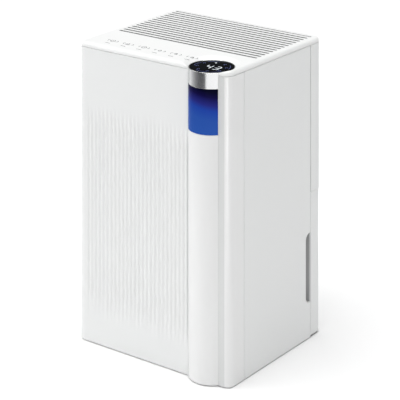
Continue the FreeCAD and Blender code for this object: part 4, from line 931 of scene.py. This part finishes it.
def make_lights():
    world = bpy.data.worlds.new("studio")
    world.use_nodes = True
    tree = world.node_tree
    background = tree.nodes["Background"]
    background.inputs["Color"].default_value = (1.0, 1.0, 1.0, 1.0)
    background.inputs["Strength"].default_value = 0.20
    bpy.context.scene.world = world
    ceiling = bpy.data.lights.new("ceiling", "SUN")
    ceiling.energy = 2.95
    ceiling.angle = math.radians(60)
    lamp = bpy.data.objects.new("ceiling", ceiling)
    lamp.rotation_euler = (math.radians(4), 0, 0)
    bpy.context.scene.collection.objects.link(lamp)
    area_light("left_panel", azimuth=-55, elevation=20, distance=2.6, width=1.6, height=1.6, power=17)
    area_light("right_panel", azimuth=52, elevation=20, distance=3.2, width=1.2, height=1.4, power=7)
    gleam = area_light("corner_gleam", azimuth=40, elevation=6, distance=0.62,
                       width=0.08, height=0.7, power=1.8)
    gleam.visible_camera = False
    gleam.visible_diffuse = False
    gleam.light_linking.receiver_collection = gleam_receivers
    bpy.context.scene.view_settings.view_transform = "Standard"


def make_flag():
    """Card that only gloss sees: the band in the bright ring, dark at its right end and pale at its left."""
    azimuth = math.radians(-43)
    distance = 0.5
    half_width = 0.66
    outwards = Vector((math.sin(azimuth), -math.cos(azimuth), 0))
    middle = Vector((COLUMN_X, COLUMN_Y, 0.26)) + outwards * distance
    across = Vector((math.cos(azimuth), math.sin(azimuth), 0)) * half_width
    rise = Vector((0, 0, 0.16))
    mesh_data = bmesh.new()
    end = 0.9 * across
    corners = [middle - across - rise, middle + end - rise, middle + end + rise, middle - across + rise]
    mesh_data.faces.new([mesh_data.verts.new(corner) for corner in corners])
    card = mesh_object("card", mesh_data)
    material, tree, shader = new_material("card_cloth")
    coordinates = tree.nodes.new("ShaderNodeTexCoord")
    split = tree.nodes.new("ShaderNodeSeparateXYZ")
    tree.links.new(coordinates.outputs["Object"], split.inputs["Vector"])
    share = tree.nodes.new("ShaderNodeMapRange")
    share.inputs["From Min"].default_value = middle.x - across.x
    share.inputs["From Max"].default_value = middle.x + 0.32 * across.x
    share.interpolation_type = "SMOOTHSTEP"
    tree.links.new(split.outputs["X"], share.inputs["Value"])
    tree.links.new(blend_colors(tree, share.outputs["Result"], (0.86, 0.86, 0.87), (0.07, 0.07, 0.075)),
                   shader.inputs["Emission Color"])
    shader.inputs["Emission Strength"].default_value = 1.0
    shader.inputs["Base Color"].default_value = (0.02, 0.02, 0.02, 1.0)
    shader.inputs["Roughness"].default_value = 0.9
    card.data.materials.append(material)
    card.visible_camera = False
    card.visible_diffuse = False
    card.visible_shadow = False
    card.visible_transmission = False


def make_backdrop():
    """Pale round wall that only the camera sees, so low views also end in white."""
    radius = 5.9
    height = 7.0
    steps = 96
    mesh_data = bmesh.new()
    low, high = [], []
    for u, v in circle(0, 0, radius, steps):
        low.append(mesh_data.verts.new((u, v, 0)))
        high.append(mesh_data.verts.new((u, v, height)))
    for index in range(steps):
        following = (index + 1) % steps
        mesh_data.faces.new((low[following], low[index], high[index], high[following]))
    wall = mesh_object("backdrop", mesh_data)
    material, tree, shader = new_material("backdrop_paper")
    shader.inputs["Base Color"].default_value = (0.9, 0.9, 0.9, 1.0)
    shader.inputs["Emission Color"].default_value = (1.0, 1.0, 1.0, 1.0)
    shader.inputs["Emission Strength"].default_value = 1.0
    wall.data.materials.append(material)
    wall.visible_diffuse = False
    wall.visible_glossy = False
    wall.visible_shadow = False
    wall.visible_transmission = False


def make_camera():
    """Camera that looks down on the machine, yet uprights stay upright in the main view.
    Its parent's sheared matrix acts like a lens shift of 1.58, and is lost where the parent is cleared."""
    azimuth = math.radians(36.7)
    drop = math.radians(19.87)
    right = Vector((math.cos(azimuth), math.sin(azimuth), 0))
    up = Vector((0, 0, 1))
    back = Vector((math.sin(azimuth) * math.cos(drop), -math.cos(azimuth) * math.cos(drop), math.sin(drop)))
    place_at = Vector((1.4835, -1.986, 1.0882))
    data = bpy.data.cameras.new("camera")
    data.sensor_width = 36.0
    data.lens = 167.5
    data.clip_end = 50.0
    camera = bpy.data.objects.new("camera", data)
    bpy.context.scene.collection.objects.link(camera)
    stand = bpy.data.objects.new("camera_stand", None)
    bpy.context.scene.collection.objects.link(stand)
    camera.parent = stand
    columns = Matrix((right, up, back)).transposed().to_4x4()
    columns.translation = place_at
    camera.matrix_parent_inverse = columns
    bpy.context.scene.camera = camera


make_floor()
make_lights()
make_flag()
make_backdrop()
make_camera()
